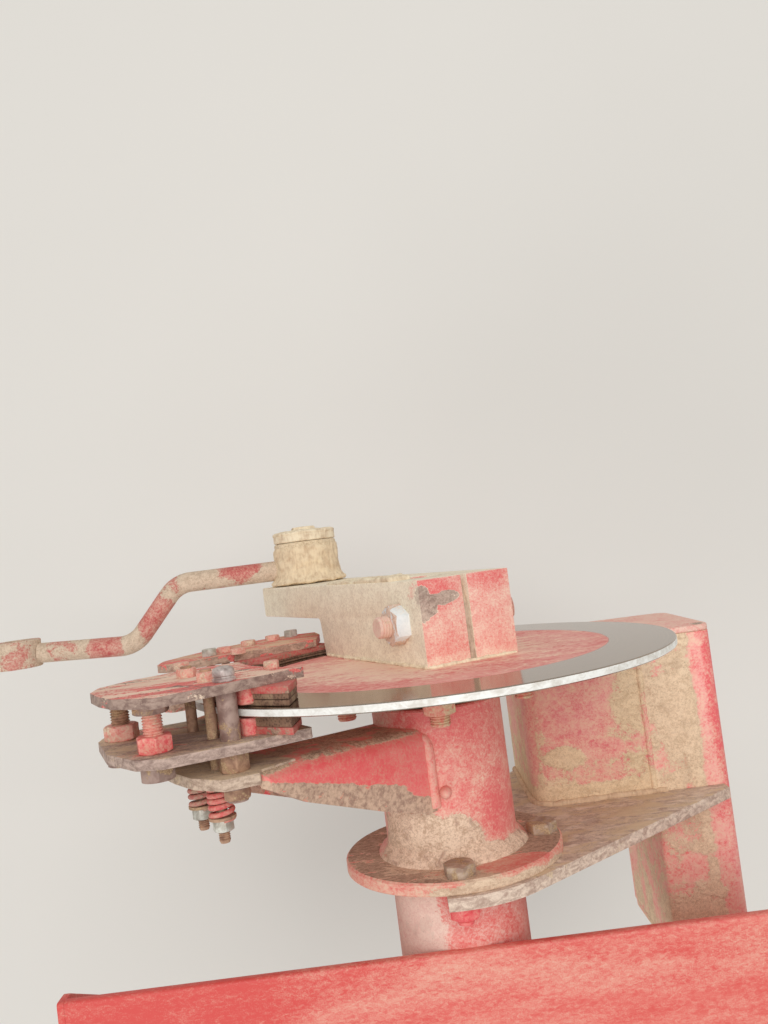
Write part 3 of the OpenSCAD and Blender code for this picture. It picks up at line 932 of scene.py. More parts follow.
@dataclass(frozen=True)
class DiscFace:
    """A brake disc rubbed to a mirror by its linings outside a painted, dusty middle, with painted reflection
    in its ring's dark steel colour and a painted highlight in its rim's near-white.
    """

    name: str
    inner: float = 148.0
    seed: float = 2.0

    def material(self) -> bpy.types.Material:
        """Builds the finish.

        Returns:
            The material.
        """
        s = Shader(self.name)
        flat = s.node("ShaderNodeVectorMath", {"operation": "MULTIPLY_ADD"}, {
            0: s.place, 1: (1000, 0, 1000), 2: (-AXIS.x, 0, -AXIS.z)})
        radius = s.value("ShaderNodeVectorMath", {"operation": "LENGTH"}, {0: flat.outputs[0]}, "Value")
        hair = s.noise(300, self.seed, 4, 1.2, (0.5, 1, 1))
        cloud = s.noise(24, self.seed + 1, 4, 0.6)
        ring_noise = s.noise(55, self.seed + 2, 3) * 1.6
        rubbed = (radius + ring_noise).step(self.inner, self.inner + 1.6)
        flank = (s.facing["Y"] * s.facing["Y"]).step(0.2, 0.6)
        rubbed_face = rubbed * flank
        grooves = s.value("ShaderNodeTexNoise", {"noise_dimensions": "1D"}, {
            "W": radius, "Scale": 0.9, "Detail": 4.0, "Roughness": 0.7})
        # The rubbed ring's steel colours are dark and brown. This is painted reflection of the dark
        # surroundings in the mirror ring, over the steel's own tint.
        steel = s.mix(grooves.step(0.3, 0.7), (116, 98, 82), (156, 138, 120))
        # The rim's near-white colours are a painted highlight: the bright sheen of the lit steel edge, given
        # as colour on a barely metallic surface.
        rim = s.mix((
            s.noise(
                60, self.seed + 3,
                4) * 0.6 + hair * 0.4).step(0.35, 0.62), (214, 208, 198), (248, 247, 242))
        paint = s.mix((cloud * 0.5 + hair * 0.5).step(0.36, 0.62), (220, 112, 108), (238, 170, 158))
        inward = 1 - (radius * (1 / self.inner))
        streaks = s.noise(34, self.seed + 4, 5, 0.7, (0.4, 1, 1.6))
        dust = ((streaks - 0.5) * 1.3 + (hair - 0.5) * 1.6 + inward * 0.9 + 0.2).step(0.2, 0.75)
        paint = s.mix(dust * 0.75, paint, (246, 218, 192))
        colour = s.mix(flank, rim, s.mix(rubbed, paint, steel))
        metal = rubbed_face * 0.92 + (1 - flank) * 0.15
        rough = (1 - rubbed_face) * 0.5 + 0.07 + grooves * 0.08
        return s.finish(colour, rough, metal, (1 - rubbed) * (hair * 0.5 + dust * 0.6) + grooves * 0.05, 0.3)


@dataclass(frozen=True)
class Friction:
    """Pressed brake lining."""

    name: str = "brake_lining"

    def material(self) -> bpy.types.Material:
        """Builds the finish.

        Returns:
            The material.
        """
        s = Shader(self.name)
        chips = s.value(
            "ShaderNodeTexVoronoi", {"feature": "F1"}, {"Vector": s.spot((1, 1, 1)), "Scale": 520.0})
        cloud = s.noise(60, 5, 4, 0.5)
        colour = s.mix(chips.step(0.1, 0.6), (92, 66, 54), (132, 100, 80))
        colour = s.mix(cloud.step(0.5, 0.7) * 0.6, colour, (186, 158, 126))
        return s.finish(colour, 0.9, 0.0, chips * 0.5 + cloud * 0.5, 0.3)


@dataclass(frozen=True)
class DriedDust:
    """Dust and chaff that has caked hard."""

    name: str = "dried_dust"
    light: Colour = (246, 230, 200)
    dark: Colour = (208, 184, 154)

    def material(self) -> bpy.types.Material:
        """Builds the finish.

        Returns:
            The material.
        """
        s = Shader(self.name)
        lumps = s.noise(110, 1, 5, 0.4)
        chaff = s.noise(420, 3, 3, 0.2, (1, 0.25, 0.6))
        colour = s.mix((lumps * 0.7 + chaff * 0.5).step(0.35, 0.75), self.dark, self.light)
        colour = s.mix(chaff.step(0.66, 0.72) * 0.7, colour, (240, 222, 178))
        return s.finish(colour, 0.95, 0.0, lumps + chaff * 0.5, 0.8)


# Assemblies

class Body(Enum):
    """What a piece rides on."""

    CARRIER = "carrier"
    CRANK = "crank"
    ROD = "rod"


class Slot(Enum):
    """Kinds of finish that are passed along with each piece; nothing reads them."""

    PAINT = "paint"
    WORN_PLATE = "worn_plate"
    STEEL = "steel"
    ZINC = "zinc"
    LINING = "lining"
    DISC_STEEL = "disc_steel"


class PaintShop:
    """Builds each finish's material once."""

    def __init__(self) -> None:
        """Starts with no material built."""
        self._made: dict[str, bpy.types.Material] = {}

    def material(self, finish: Finish) -> bpy.types.Material:
        """Gives a finish's material.

        Args:
            finish: The finish, known by its name.

        Returns:
            The material, built if this is its first use.
        """
        if finish.name not in self._made:
            self._made[finish.name] = finish.material()
        return self._made[finish.name]


@dataclass
class Assembly:
    """Pieces that ride on one body and are dressed by one paint shop."""

    shop: PaintShop
    body: ClassVar[Body] = Body.CARRIER

    def dress(self, obj: bpy.types.Object, slot: Slot, finish: Finish, nodes: Sequence[str] = (),
              angle: float = 32) -> None:
        """Finishes a piece.

        Args:
            obj: The piece.
            slot: Not used.
            finish: Its finish.
            nodes: The nodes it stands for.
            angle: Edges that turn by less than this many degrees are smooth.
        """
        obj.data.materials.clear()
        obj.data.materials.append(self.shop.material(finish))
        Bench.hold(obj)
        bpy.ops.object.shade_smooth_by_angle(angle=math.radians(angle))
        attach(obj, self.body.value)
        if nodes:
            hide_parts(*nodes)
        LOG.info("%s on %s, %d faces", obj.name, self.body.value, len(obj.data.polygons))

    def coat(self, finish: Finish, *nodes: str) -> None:
        """Gives nodes that stay as they are a material.

        Args:
            finish: Their finish.
            nodes: Their names.
        """
        for name in nodes:
            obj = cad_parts[name]
            obj.data.materials.clear()
            obj.data.materials.append(self.shop.material(finish))


@dataclass
class FrameWork(Assembly):
    """The cross beam, the post beside the disc and the bracket between them."""

    left: float = -320.0
    right: float = 312.0
    front: float = -219.0
    back: float = -319.0
    low: float = -100.0
    top: float = 60.0
    wall: float = 8.0
    foot_depth: float = 28.0
    cap: float = 6.0
    corner: float = 9.0
    weld_r: float = 1.5
    tube_r: float = 54.05
    post_x: tuple[float, float] = (198.0, 273.0)
    post_z: tuple[float, float] = (-250.0, -100.0)
    post_top: float = -20.0
    bracket_x: float = 86.0
    bracket_t: float = 6.0
    bend: float = 18.0
    foot: float = -165.0
    play: float = 0.3
    beam_finish: Weathered = Weathered(
        "beam_paint", paint=(214, 74, 68), faded=(226, 118, 106), dust=(232, 196, 172), fade=0.4,
        dusty=-0.16, settle=0.0, chipped=-0.5, grain=13, gloss=0.42, relief=0.25, speckled=0.34,
        fibre=(0.5, 1, 1), sharp=0.75, seed=11, stretch=(0.35, 1.2, 1.0), zones=(
            Zone(DUST, (-40, -240, 60), (150, 18, 12), 0.32),
            Zone(DUST, (170, -246, 60), (140, 24, 12), 0.3),
            Zone(FADE, (140, -260, 60), (260, 70, 30), 0.15),
            Zone(FADE, (-240, -240, 60), (130, 60, 30), -0.3),
            Zone(DUST, (-250, -240, 60), (120, 60, 30), -0.3)))
    post_finish: Weathered = Weathered(
        "post_paint", paint=(236, 96, 102), faded=(252, 178, 168), dust=(240, 212, 180),
        dust_dark=(210, 180, 148), fade=0.55, dusty=0.46, settle=0.1, chipped=-0.4, grain=24, relief=0.6,
        speckled=0.44, seed=23, zones=(
            Zone(FADE, (272, -90, -100), (14, 120, 40), -0.4),
            Beyond(DUST, (250, -90, -100), (1, 0, 0), -0.62, 12), Side(DUST, (0, 1, 0), 0.6),
            Zone(DUST, (268, -60, -100), (20, 34, 30), -0.3),
            Zone(DUST, (232, -100, -100), (22, 60, 30), 0.35),
            Zone(DUST, (226, -236, -100), (14, 14, 20), -0.4),
            Zone(DUST, (238, -280, -100), (30, 30, 20), 0.25),
            Zone(DUST, (250, -250, -100), (14, 20, 20), 0.3)))
    cap_finish: Weathered = Weathered(
        "post_cap_paint", paint=(226, 116, 112), faded=(240, 172, 160), dust=(240, 214, 194),
        dust_dark=(214, 184, 162), fade=0.6, dusty=0.14, settle=0.1, chipped=-0.35, grain=24, relief=0.4,
        speckled=0.7, seed=27, zones=(
            Zone(BARE, (262, -18, -112), (12, 10, 14), 0.9),
            Zone(FADE, (262, -18, -106), (20, 12, 14), -0.5)))
    bracket_finish: Weathered = Weathered(
        "bracket_paint", paint=(226, 108, 114), faded=(238, 156, 150), dust=(240, 212, 176),
        dust_dark=(212, 182, 146), bare=(156, 122, 104), bare_dark=(112, 84, 74), fade=0.5, dusty=0.44,
        settle=0.1, chipped=-0.5, grain=24, relief=0.7, speckled=0.46, seed=31, zones=(
            Zone(DUST, (134, -76, -100), (38, 50, 24), -0.45),
            Zone(DUST, (118, -122, -100), (20, 12, 24), 0.5),
            Zone(DUST, (156, -118, -100), (22, 10, 24), -0.4),
            Zone(BARE, (126, -157, -100), (36, 8, 20), 0.9), Zone(DUST, (88, -90, -100), (6, 90, 30), -0.3),
            Beyond(DUST, (100, -150, -100), (0, -1, 0), 0.5)))
    weld_finish: DriedDust = DriedDust("caked_weld", light=(222, 192, 158), dark=(188, 154, 126))

    def build(self) -> None:
        """Makes the frame's pieces."""
        self._beam()
        self._post()
        self._bracket()

    def _beam(self) -> None:
        """Makes the channel beam with its end plates and their welds."""
        lip, inner = self.back + self.foot_depth, self.back + self.wall
        ceiling = self.top - self.wall
        section = rounded(
            [
                (self.front, self.top), (self.back, self.top), (self.back, self.low), (lip, self.low),
                (lip, self.low + self.wall), (inner, self.low + self.wall), (inner, ceiling),
                (self.front, ceiling)], [4, self.corner, self.corner, 1.5, 1.5, 3, 3, 1.5], 5)
        shell = Bench.prism("beam_shell", BEAM, section, self.left + self.cap, self.right - self.cap)
        Bench.cut(shell, Bench.prism(
            "bore", DISC, arc(self.tube_r, 0, 354, 59), self.back - 20, self.front + 20))
        self.dress(shell, Slot.PAINT, self.beam_finish, ["cross_beam"])
        end = [
            (self.front, self.top), (self.back, self.top), (self.back, self.low), (lip, self.low),
            (self.front, self.top - 2 * self.wall)]
        route = [
            (self.front - 2, self.top - 1.6), (self.back + 6, self.top - 1.6),
            (self.back + 1.8, self.top - 6), (self.back + 1.8, self.low + 6)]
        caps = []
        for k, (x, inward) in enumerate(((self.left, 1), (self.right, -1))):
            seat = x + inward * self.cap
            cap = Bench.prism(
                f"beam_cap_{k}", BEAM, rounded(end, [3, 6, 6, 2, 3], 4), min(x, seat), max(x, seat))
            Bench.soften(cap, 1.0)
            places = [BEAM.at(a, b, seat + inward * self.weld_r) for a, b in route]
            caps += [cap, Bench.drawn(f"beam_cap_weld_{k}", places, self.weld_r, sides=2)]
        self.dress(Bench.join("beam_cap_plates", *caps), Slot.PAINT, self.beam_finish, ["beam_caps"])

    def _post(self) -> None:
        """Makes the rounded post with its foot plate and cap."""
        (x1, x2), (z1, z2) = self.post_x, self.post_z
        outline = rounded(box_outline(x1, x2, z1, z2), [4, self.bend, self.bend, 4], 8)
        post = Bench.prism("post_shell", DISC, outline, self.back, self.post_top)
        sole = rounded(box_outline(x1, x2, z1, z2), 12)
        foot = Bench.prism("post_foot_plate", DISC, sole, self.back - self.cap, self.back)
        Bench.soften(post, 0.8)
        Bench.soften(foot, 0.8)
        post = Bench.join("post_shell", post, foot)
        self.dress(post, Slot.PAINT, self.post_finish, ["side_post", "post_foot"])
        lid = rounded(box_outline(self.bracket_x, x2, z1, z2), self.bend, 8)
        cap = Bench.prism("post_cap_plate", DISC, lid, self.post_top, self.post_top + self.cap)
        Bench.soften(cap, 1.6, 3)
        self.dress(cap, Slot.PAINT, self.cap_finish, ["post_cap"])

    def _bracket(self) -> None:
        """Makes the bent sheet with the weld round its foot and beside the post."""
        x, t, r = self.bracket_x, self.bracket_t, self.bend
        (x1, _), (z1, z2) = self.post_x, self.post_z
        centre, end = (x + r, z2 - r), x1 - self.play
        outer = [(x, z1)] + arc(r, 180, 90, 8, centre) + [(end, z2)]
        inner = [(end, z2 - t)] + arc(r - t, 90, 180, 8, centre) + [(x + t, z1)]
        sheet = Bench.prism("bracket_sheet", DISC, outer + inner, self.foot, self.post_top)
        Bench.soften(sheet, 0.6)
        self.dress(sheet, Slot.PAINT, self.bracket_finish, ["bent_bracket"])
        seam = [(x - 0.5, z1 + 4)] + arc(r + 0.5, 180, 90, 8, centre) + [(x1 + 12, z2 + 0.5)]
        weld = Bench.drawn("bracket_foot_weld", [DISC.at(a, b, self.foot + 1) for a, b in seam], 3.4)
        Bench.rough(weld, 3.4, 13, cell=1.4)
        self.dress(weld, Slot.PAINT, self.weld_finish, angle=70)
        heights = (self.foot + 2, -110, -60, self.post_top - 2)
        side = Bench.drawn("bracket_side_weld", [DISC.at(x1 + 0.5, z2 - 1.4, h) for h in heights], 3.2)
        Bench.rough(side, 1.6, 7, cell=1.2)
        self.dress(side, Slot.PAINT, self.bracket_finish, angle=70)


@dataclass
class TubeMount(Assembly):
    """The bearing tube bolted by its flange to the carrier plate, with the sleeve below."""

    r: float = 54.0
    bore: float = 46.0
    mouth: float = -34.0
    foot: float = -165.0
    flange_r: float = 90.0
    flange_t: float = 10.0
    plate_t: float = 10.0
    sleeve_end: float = -319.0
    play: float = 0.05
    bolt_r: float = 75.0
    bolt_d: float = 14.0
    bolt_flats: float = 22.0
    bolt_play: float = 0.25
    head_h: float = 8.96
    nut_h: float = 11.4
    pitch: float = 1.9
    bolts: tuple[Point, ...] = ((1, 0), (0, 1), (0, -1))
    plate_left: float = 12.0
    plate_right: float = 264.0
    plate_top: float = -87.0
    post_x: float = 198.0
    post_z: tuple[float, float] = (-250.0, -100.3)
    bracket_x: float = 86.0
    tube_finish: Weathered = Weathered(
        "tube_paint", paint=(226, 104, 102), faded=(232, 136, 128), dust=(240, 212, 186),
        dust_dark=(196, 164, 138), bare=(158, 122, 106), bare_dark=(120, 90, 80), fade=0.5, dusty=-0.05,
        settle=0.06, chipped=-0.5, grain=22, gloss=0.45, relief=0.6, speckled=0.46, stained=0.6, seed=41,
        zones=(
            Zone(DUST, (-30, -152, 54), (56, 46, 74), 0.95), Zone(DUST, (34, -156, 30), (44, 16, 54), 0.8),
            # The zone round (-46, -80, 30) makes the tube lighter and beige on its left, and the fade zone
            # round (30, -90, 50) keeps a deeper red on its right.
            Zone(DUST, (40, -116, 40), (20, 28, 40), -0.4), Zone(DUST, (-46, -80, 30), (22, 70, 40), 0.35),
            Zone(DUST, (8, -132, 54), (20, 20, 30), 0.6), Zone(DUST, (-20, -96, 50), (14, 50, 30), 0.2),
            # The zones round (0, -50, 50) and (0, -46, 50) keep the tube's top, just under the disc, less
            # faded and less dusty. That darker red is painted shadow of the disc.
            Zone(FADE, (30, -90, 50), (24, 60, 40), -0.35), Zone(FADE, (0, -50, 50), (60, 26, 40), -0.3),
            Zone(DUST, (0, -46, 50), (60, 26, 40), -0.3)))
    flange_finish: Weathered = Weathered(
        "flange_paint", paint=(218, 90, 86), faded=(234, 150, 136), dust=(228, 200, 172),
        dust_dark=(196, 164, 138), bare=(172, 138, 116), bare_dark=(126, 94, 78), fade=0.45, dusty=0.16,
        settle=0.0, chipped=-0.5, grain=34, relief=0.5, speckled=0.6, stretch=(0.45, 1, 1),
        fibre=(0.5, 1, 1), seed=47, zones=(
            Side(BARE, (0, 1, 0), 1.15), Zone(BARE, (50, -155, 66), (36, 14, 18), -1.5),
            Zone(FADE, (50, -155, 66), (44, 14, 24), -0.5), Zone(DUST, (50, -155, 66), (44, 14, 24), -0.4),
            Zone(DUST, (0, -155, 40), (66, 6, 50), 0.4), Zone(DUST, (30, -165, 90), (60, 20, 24), 0.4),
            Zone(BARE, (64, -162, 66), (40, 6, 34), 1.1), Zone(DUST, (66, -165, 66), (50, 9, 44), 0.9),
            Zone(DUST, (-20, -162, 86), (34, 6, 14), 0.3)))
    plate_finish: WornPlate = WornPlate(
        "carrier_steel", dark=(176, 148, 132), steel=(230, 208, 188), painted=-0.4, dusty=0.2,
        streak=(0.4, 1, 0.9), crisp=0.15, patchy=1.8, seed=53)
    sleeve_finish: Weathered = Weathered(
        "sleeve_paint", paint=(222, 96, 90), faded=(232, 142, 130), dust=(236, 206, 190),
        dust_dark=(226, 186, 172), fade=0.45, dusty=0.1, settle=0.05, chipped=-0.5, grain=20, relief=0.25,
        speckled=0.42, seed=59, zones=(
            Zone(DUST, (-44, -220, 40), (34, 90, 60), 0.6), Zone(FADE, (10, -190, 54), (40, 20, 30), -0.3)))
    zinc_finish: Metal = Metal(
        "dull_bolts", bright=(196, 172, 150), dull=(158, 130, 112), stained=0.5, shine=0.2, roughness=0.55,
        seed=3)
    nut_finish: Weathered = Weathered(
        "painted_nuts", paint=(222, 62, 70), faded=(242, 140, 134), fade=0.42, dusty=-0.1, settle=0.1,
        chipped=-0.4, grain=60, relief=0.3, speckled=0.12, sharp=0.6, seed=61)

    def build(self) -> None:
        """Makes the tube, flange, plate, sleeve and bolts."""
        self._tubes()
        self._plate()
        self._bolts()

    def _tubes(self) -> None:
        """Makes the tube with its welded foot, the flange and the sleeve."""
        r, top = self.r, self.foot + self.flange_t
        low = self.foot - self.plate_t
        tube = Bench.turned("tube_shell", DISC, [
            (self.bore, low), (r, low), (r, self.mouth - 1.2), (r - 1.2, self.mouth),
            (self.bore + 1.2, self.mouth), (self.bore, self.mouth - 1.2)], steps=72)
        fillet = Bench.turned("tube_foot_weld", DISC, [
            (r - 2, top - 0.5), (r + 8.5, top - 0.5), (r + 7, top + 2.6), (r + 3.4, top + 5.6),
            (r + 0.6, top + 10), (r - 2, top + 12)], steps=96)
        Bench.rough(fillet, 3.6, 16)
        self.dress(tube, Slot.PAINT, self.tube_finish, ["bearing_tube"])
        self.dress(fillet, Slot.PAINT, self.tube_finish, angle=60)
        bore, rim = r + self.play, self.flange_r
        ring = Bench.turned("flange_ring", DISC, [
            (bore, self.foot), (rim - 0.8, self.foot), (rim, self.foot + 0.8), (rim, top - 1.5),
            (rim - 1.5, top), (bore, top)], steps=96)
        self.dress(ring, Slot.PAINT, self.flange_finish, ["bearing_flange"])
        sleeve = Bench.turned("sleeve_shell", DISC, [
            (self.bore, self.sleeve_end), (r, self.sleeve_end), (r, low), (self.bore, low)], steps=72)
        self.dress(sleeve, Slot.PAINT, self.sleeve_finish, ["lower_sleeve"])

    def _plate(self) -> None:
        """Makes the carrier plate from its outline."""
        edge, (low, high) = self.flange_r + 4, self.post_z
        start = math.degrees(math.acos(-self.plate_left / edge))
        outline = arc(edge, 53, start, 12) + [
            (-self.plate_left, -edge), (self.bracket_x, low), (self.post_x, low), (self.post_x, high),
            (self.plate_right, high), (self.plate_right, self.plate_top)]
        plate = Bench.prism("carrier_sheet", DISC, outline, self.foot - self.plate_t, self.foot)
        bore = (self.foot - self.plate_t - 15, self.foot + 15)
        hole = arc(self.bolt_d / 2 + self.bolt_play, 0, 345, 23)
        holes = [Bench.prism(f"hole_{k}", DISC.moved(self.bolt_r * c, self.bolt_r * s), hole, *bore)
                 for k, (c, s) in enumerate(self.bolts)]
        Bench.cut(plate, Bench.prism("bore", DISC, arc(self.r + self.play, 0, 354, 59), *bore), *holes)
        Bench.soften(plate, 0.9)
        self.dress(plate, Slot.WORN_PLATE, self.plate_finish, ["carrier_plate"])

    def _bolts(self) -> None:
        """Makes the three flange bolts and their nuts."""
        top, low = self.foot + self.flange_t, self.foot - self.plate_t
        heads, nuts = [], []
        for k, (c, s) in enumerate(self.bolts):
            datum = DISC.moved(self.bolt_r * c, self.bolt_r * s)
            name = f"flange_nut_{k}"
            heads.append(Bench.hexagon(
                f"flange_head_{k}", datum, top, top + self.head_h, self.bolt_flats, 12 + 9 * k))
            nut = Bench.hexagon(name, datum, low, low - self.nut_h, self.bolt_flats, 20 + 13 * k)
            tail = Bench.thread(
                f"flange_tail_{k}", datum, low - 9, low - self.nut_h - 5, self.bolt_d, self.pitch)
            nuts.append(Bench.join(name, nut, tail))
        self.dress(Bench.join("flange_bolt_heads", *heads), Slot.ZINC, self.zinc_finish, ["flange_bolts"])
        self.dress(Bench.join("flange_bolt_nuts", *nuts), Slot.ZINC, self.nut_finish)


@dataclass
class BrakeArm(Assembly):
    """The pressed arm that stands off the tube and carries the yoke plate."""

    near: float = 30.5
    far: float = -44.0
    sheet: float = 6.0
    bend: float = 13.0
    end: float = 171.0
    tip: float = 205.0
    tube_r: float = 54.05
    yoke_r: float = 240.0
    yoke_y: tuple[float, float] = (-48.0, -40.0)
    # The dark dust colour is dust darkened by painted shadow. It is set for the disc's shade on the arm's top
    # face, which the Side zone along +y covers in dust.
    finish: Weathered = Weathered(
        "arm_paint", paint=(234, 92, 94), faded=(238, 128, 124), dust=(212, 182, 152),
        dust_dark=(150, 122, 102), bare=(210, 178, 154), bare_dark=(158, 126, 110), fade=0.46, dusty=-0.3,
        settle=0.05, chipped=-0.55, grain=26, gloss=0.4, relief=0.45, speckled=0.38, sharp=0.65, seed=71,
        zones=(
            Beyond(BARE, (-37.8, -80, 81), (-0.195, -0.961, 0.195), 1.2, 6),
            Zone(BARE, (-14, -84, 56), (26, 14, 26), -1.4), Side(DUST, (0, 1, 0), 0.9),
            Zone(BARE, (0, -80, 45), (8, 30, 16), -1.4), Zone(BARE, (-4, -90, 50), (16, 14, 20), -1.4),
            Zone(FADE, (-70, -60, 110), (60, 30, 60), -0.15)))
    weld_finish: Weathered = Weathered(
        "weld_paint", paint=(226, 92, 94), faded=(238, 156, 146), dust=(226, 194, 166), fade=0.6, dusty=0.0,
        chipped=-0.5, grain=50, relief=0.4, speckled=0.45, seed=77)
    yoke_finish: WornPlate = WornPlate(
        "yoke_steel", steel=(214, 190, 168), dark=(160, 134, 116), painted=-0.05, dusty=0.34, seed=79)

    def build(self) -> None:
        """Makes the arm, its plug and the yoke plate."""
        self._arm()
        self._weld()
        self._yoke()
        self._plug()

    @staticmethod
    def _ridge(lowest: float) -> Callable[[Vector, Vector], bool]:
        """Tells edges that run along the arm above a height from all others.

        Args:
            lowest: The height, in millimetres from the disc's face.

        Returns:
            The test on an edge's two ends.
        """
        def along(a: Vector, b: Vector) -> bool:
            """Tests one edge."""
            return min(a.y, b.y) > (AXIS.y + lowest) / 1000 and abs((a - b).dot(ARM.w)) < 0.001
        return along

    def _arm(self) -> None:
        """Makes the pressed arm, hollow below and open at both ends."""
        t = self.sheet
        arm = Bench.prism("arm_pressing", ARM, [
            (0, -50.3), (88, -45.3), (self.end, -40.2), (self.tip, -40.2), (self.tip, -51), (170, -70),
            (100, -97), (54, -112), (0, -112)], self.far, self.near)
        Bench.round_edges(arm, self._ridge(-52), self.bend, 6)
        inside = Bench.prism("inside", ARM, [
            (-5, -56.5), (88, -51.4), (self.end, -46.3), (230, -46.3), (230, -140),
            (-5, -140)], self.far + t, self.near - t)
        Bench.round_edges(inside, self._ridge(-60), self.bend - t, 4)
        Bench.cut(arm, inside, Bench.prism("tube", DISC, arc(self.tube_r, 0, 354, 59), -200, 0))
        Bench.soften(arm, 0.6, 2, 40)
        self.dress(arm, Slot.PAINT, self.finish, ["brake_arm"])

    def _weld(self) -> None:
        """Makes the bead that joins the near web to the tube."""
        reach = math.sqrt(self.tube_r ** 2 - self.near ** 2)
        path = [ARM.at(reach + 1.5, h, self.near - 1.5) for h in range(-110, -60, 4)]
        path += [ARM.at(reach + 2.5, -57, self.near - 4), ARM.at(reach + 4, -53, self.near - 12)]
        bead = Bench.drawn("arm_weld", path, 5.0, sides=4)
        Bench.rough(bead, 1.6, 8, cell=1.3)
        self.dress(bead, Slot.PAINT, self.weld_finish, angle=70)

    def _yoke(self) -> None:
        """Makes the yoke plate, which reaches round behind the disc."""
        def on_arm(t: float, o: float) -> Point:
            """Gives a place from its distance along the arm and its offset."""
            return (o - t) / math.sqrt(2), (o + t) / math.sqrt(2)
        inset = self.near - self.sheet - 1
        edge = [on_arm(self.end, inset), on_arm(self.tip - 4, inset), on_arm(self.tip + 2, self.near)]
        edge += [past(o, a) for o, a in ((30, 130), (34.9, 137.1), (33.4, 144.4), (33, 149.6), (36, 154.1))]
        outer = arc(self.yoke_r, 158, 240, 20)
        inner = arc(DISC_R, 240, 154, 22)
        outline = rounded(edge, [0, 0, 0, 3, 8, 8, 8, 0], 3) + outer + inner + [on_arm(self.end, self.far)]
        yoke = Bench.prism("yoke_sheet", DISC, outline, *self.yoke_y)
        Bench.soften(yoke, 0.8)
        self.dress(yoke, Slot.WORN_PLATE, self.yoke_finish, ["yoke_plate"])

    def _plug(self) -> None:
        """Makes the grease plug beside the arm's root."""
        turn = math.radians(92.4)
        out = Vector((math.cos(turn), 0, math.sin(turn)))
        datum = Datum(DISC.at(0, 0, -98) * 1000, Y, out.cross(Y), out)
        plug = Bench.turned("grease_plug_cap", datum, [
            (0, 52), (4.6, 52.4), (4.6, 57), (4.4, 59.6), (3.6, 62), (2.0, 63.8), (0, 64.4)], steps=24)
        self.dress(plug, Slot.PAINT, self.weld_finish, ["grease_plug"], angle=60)


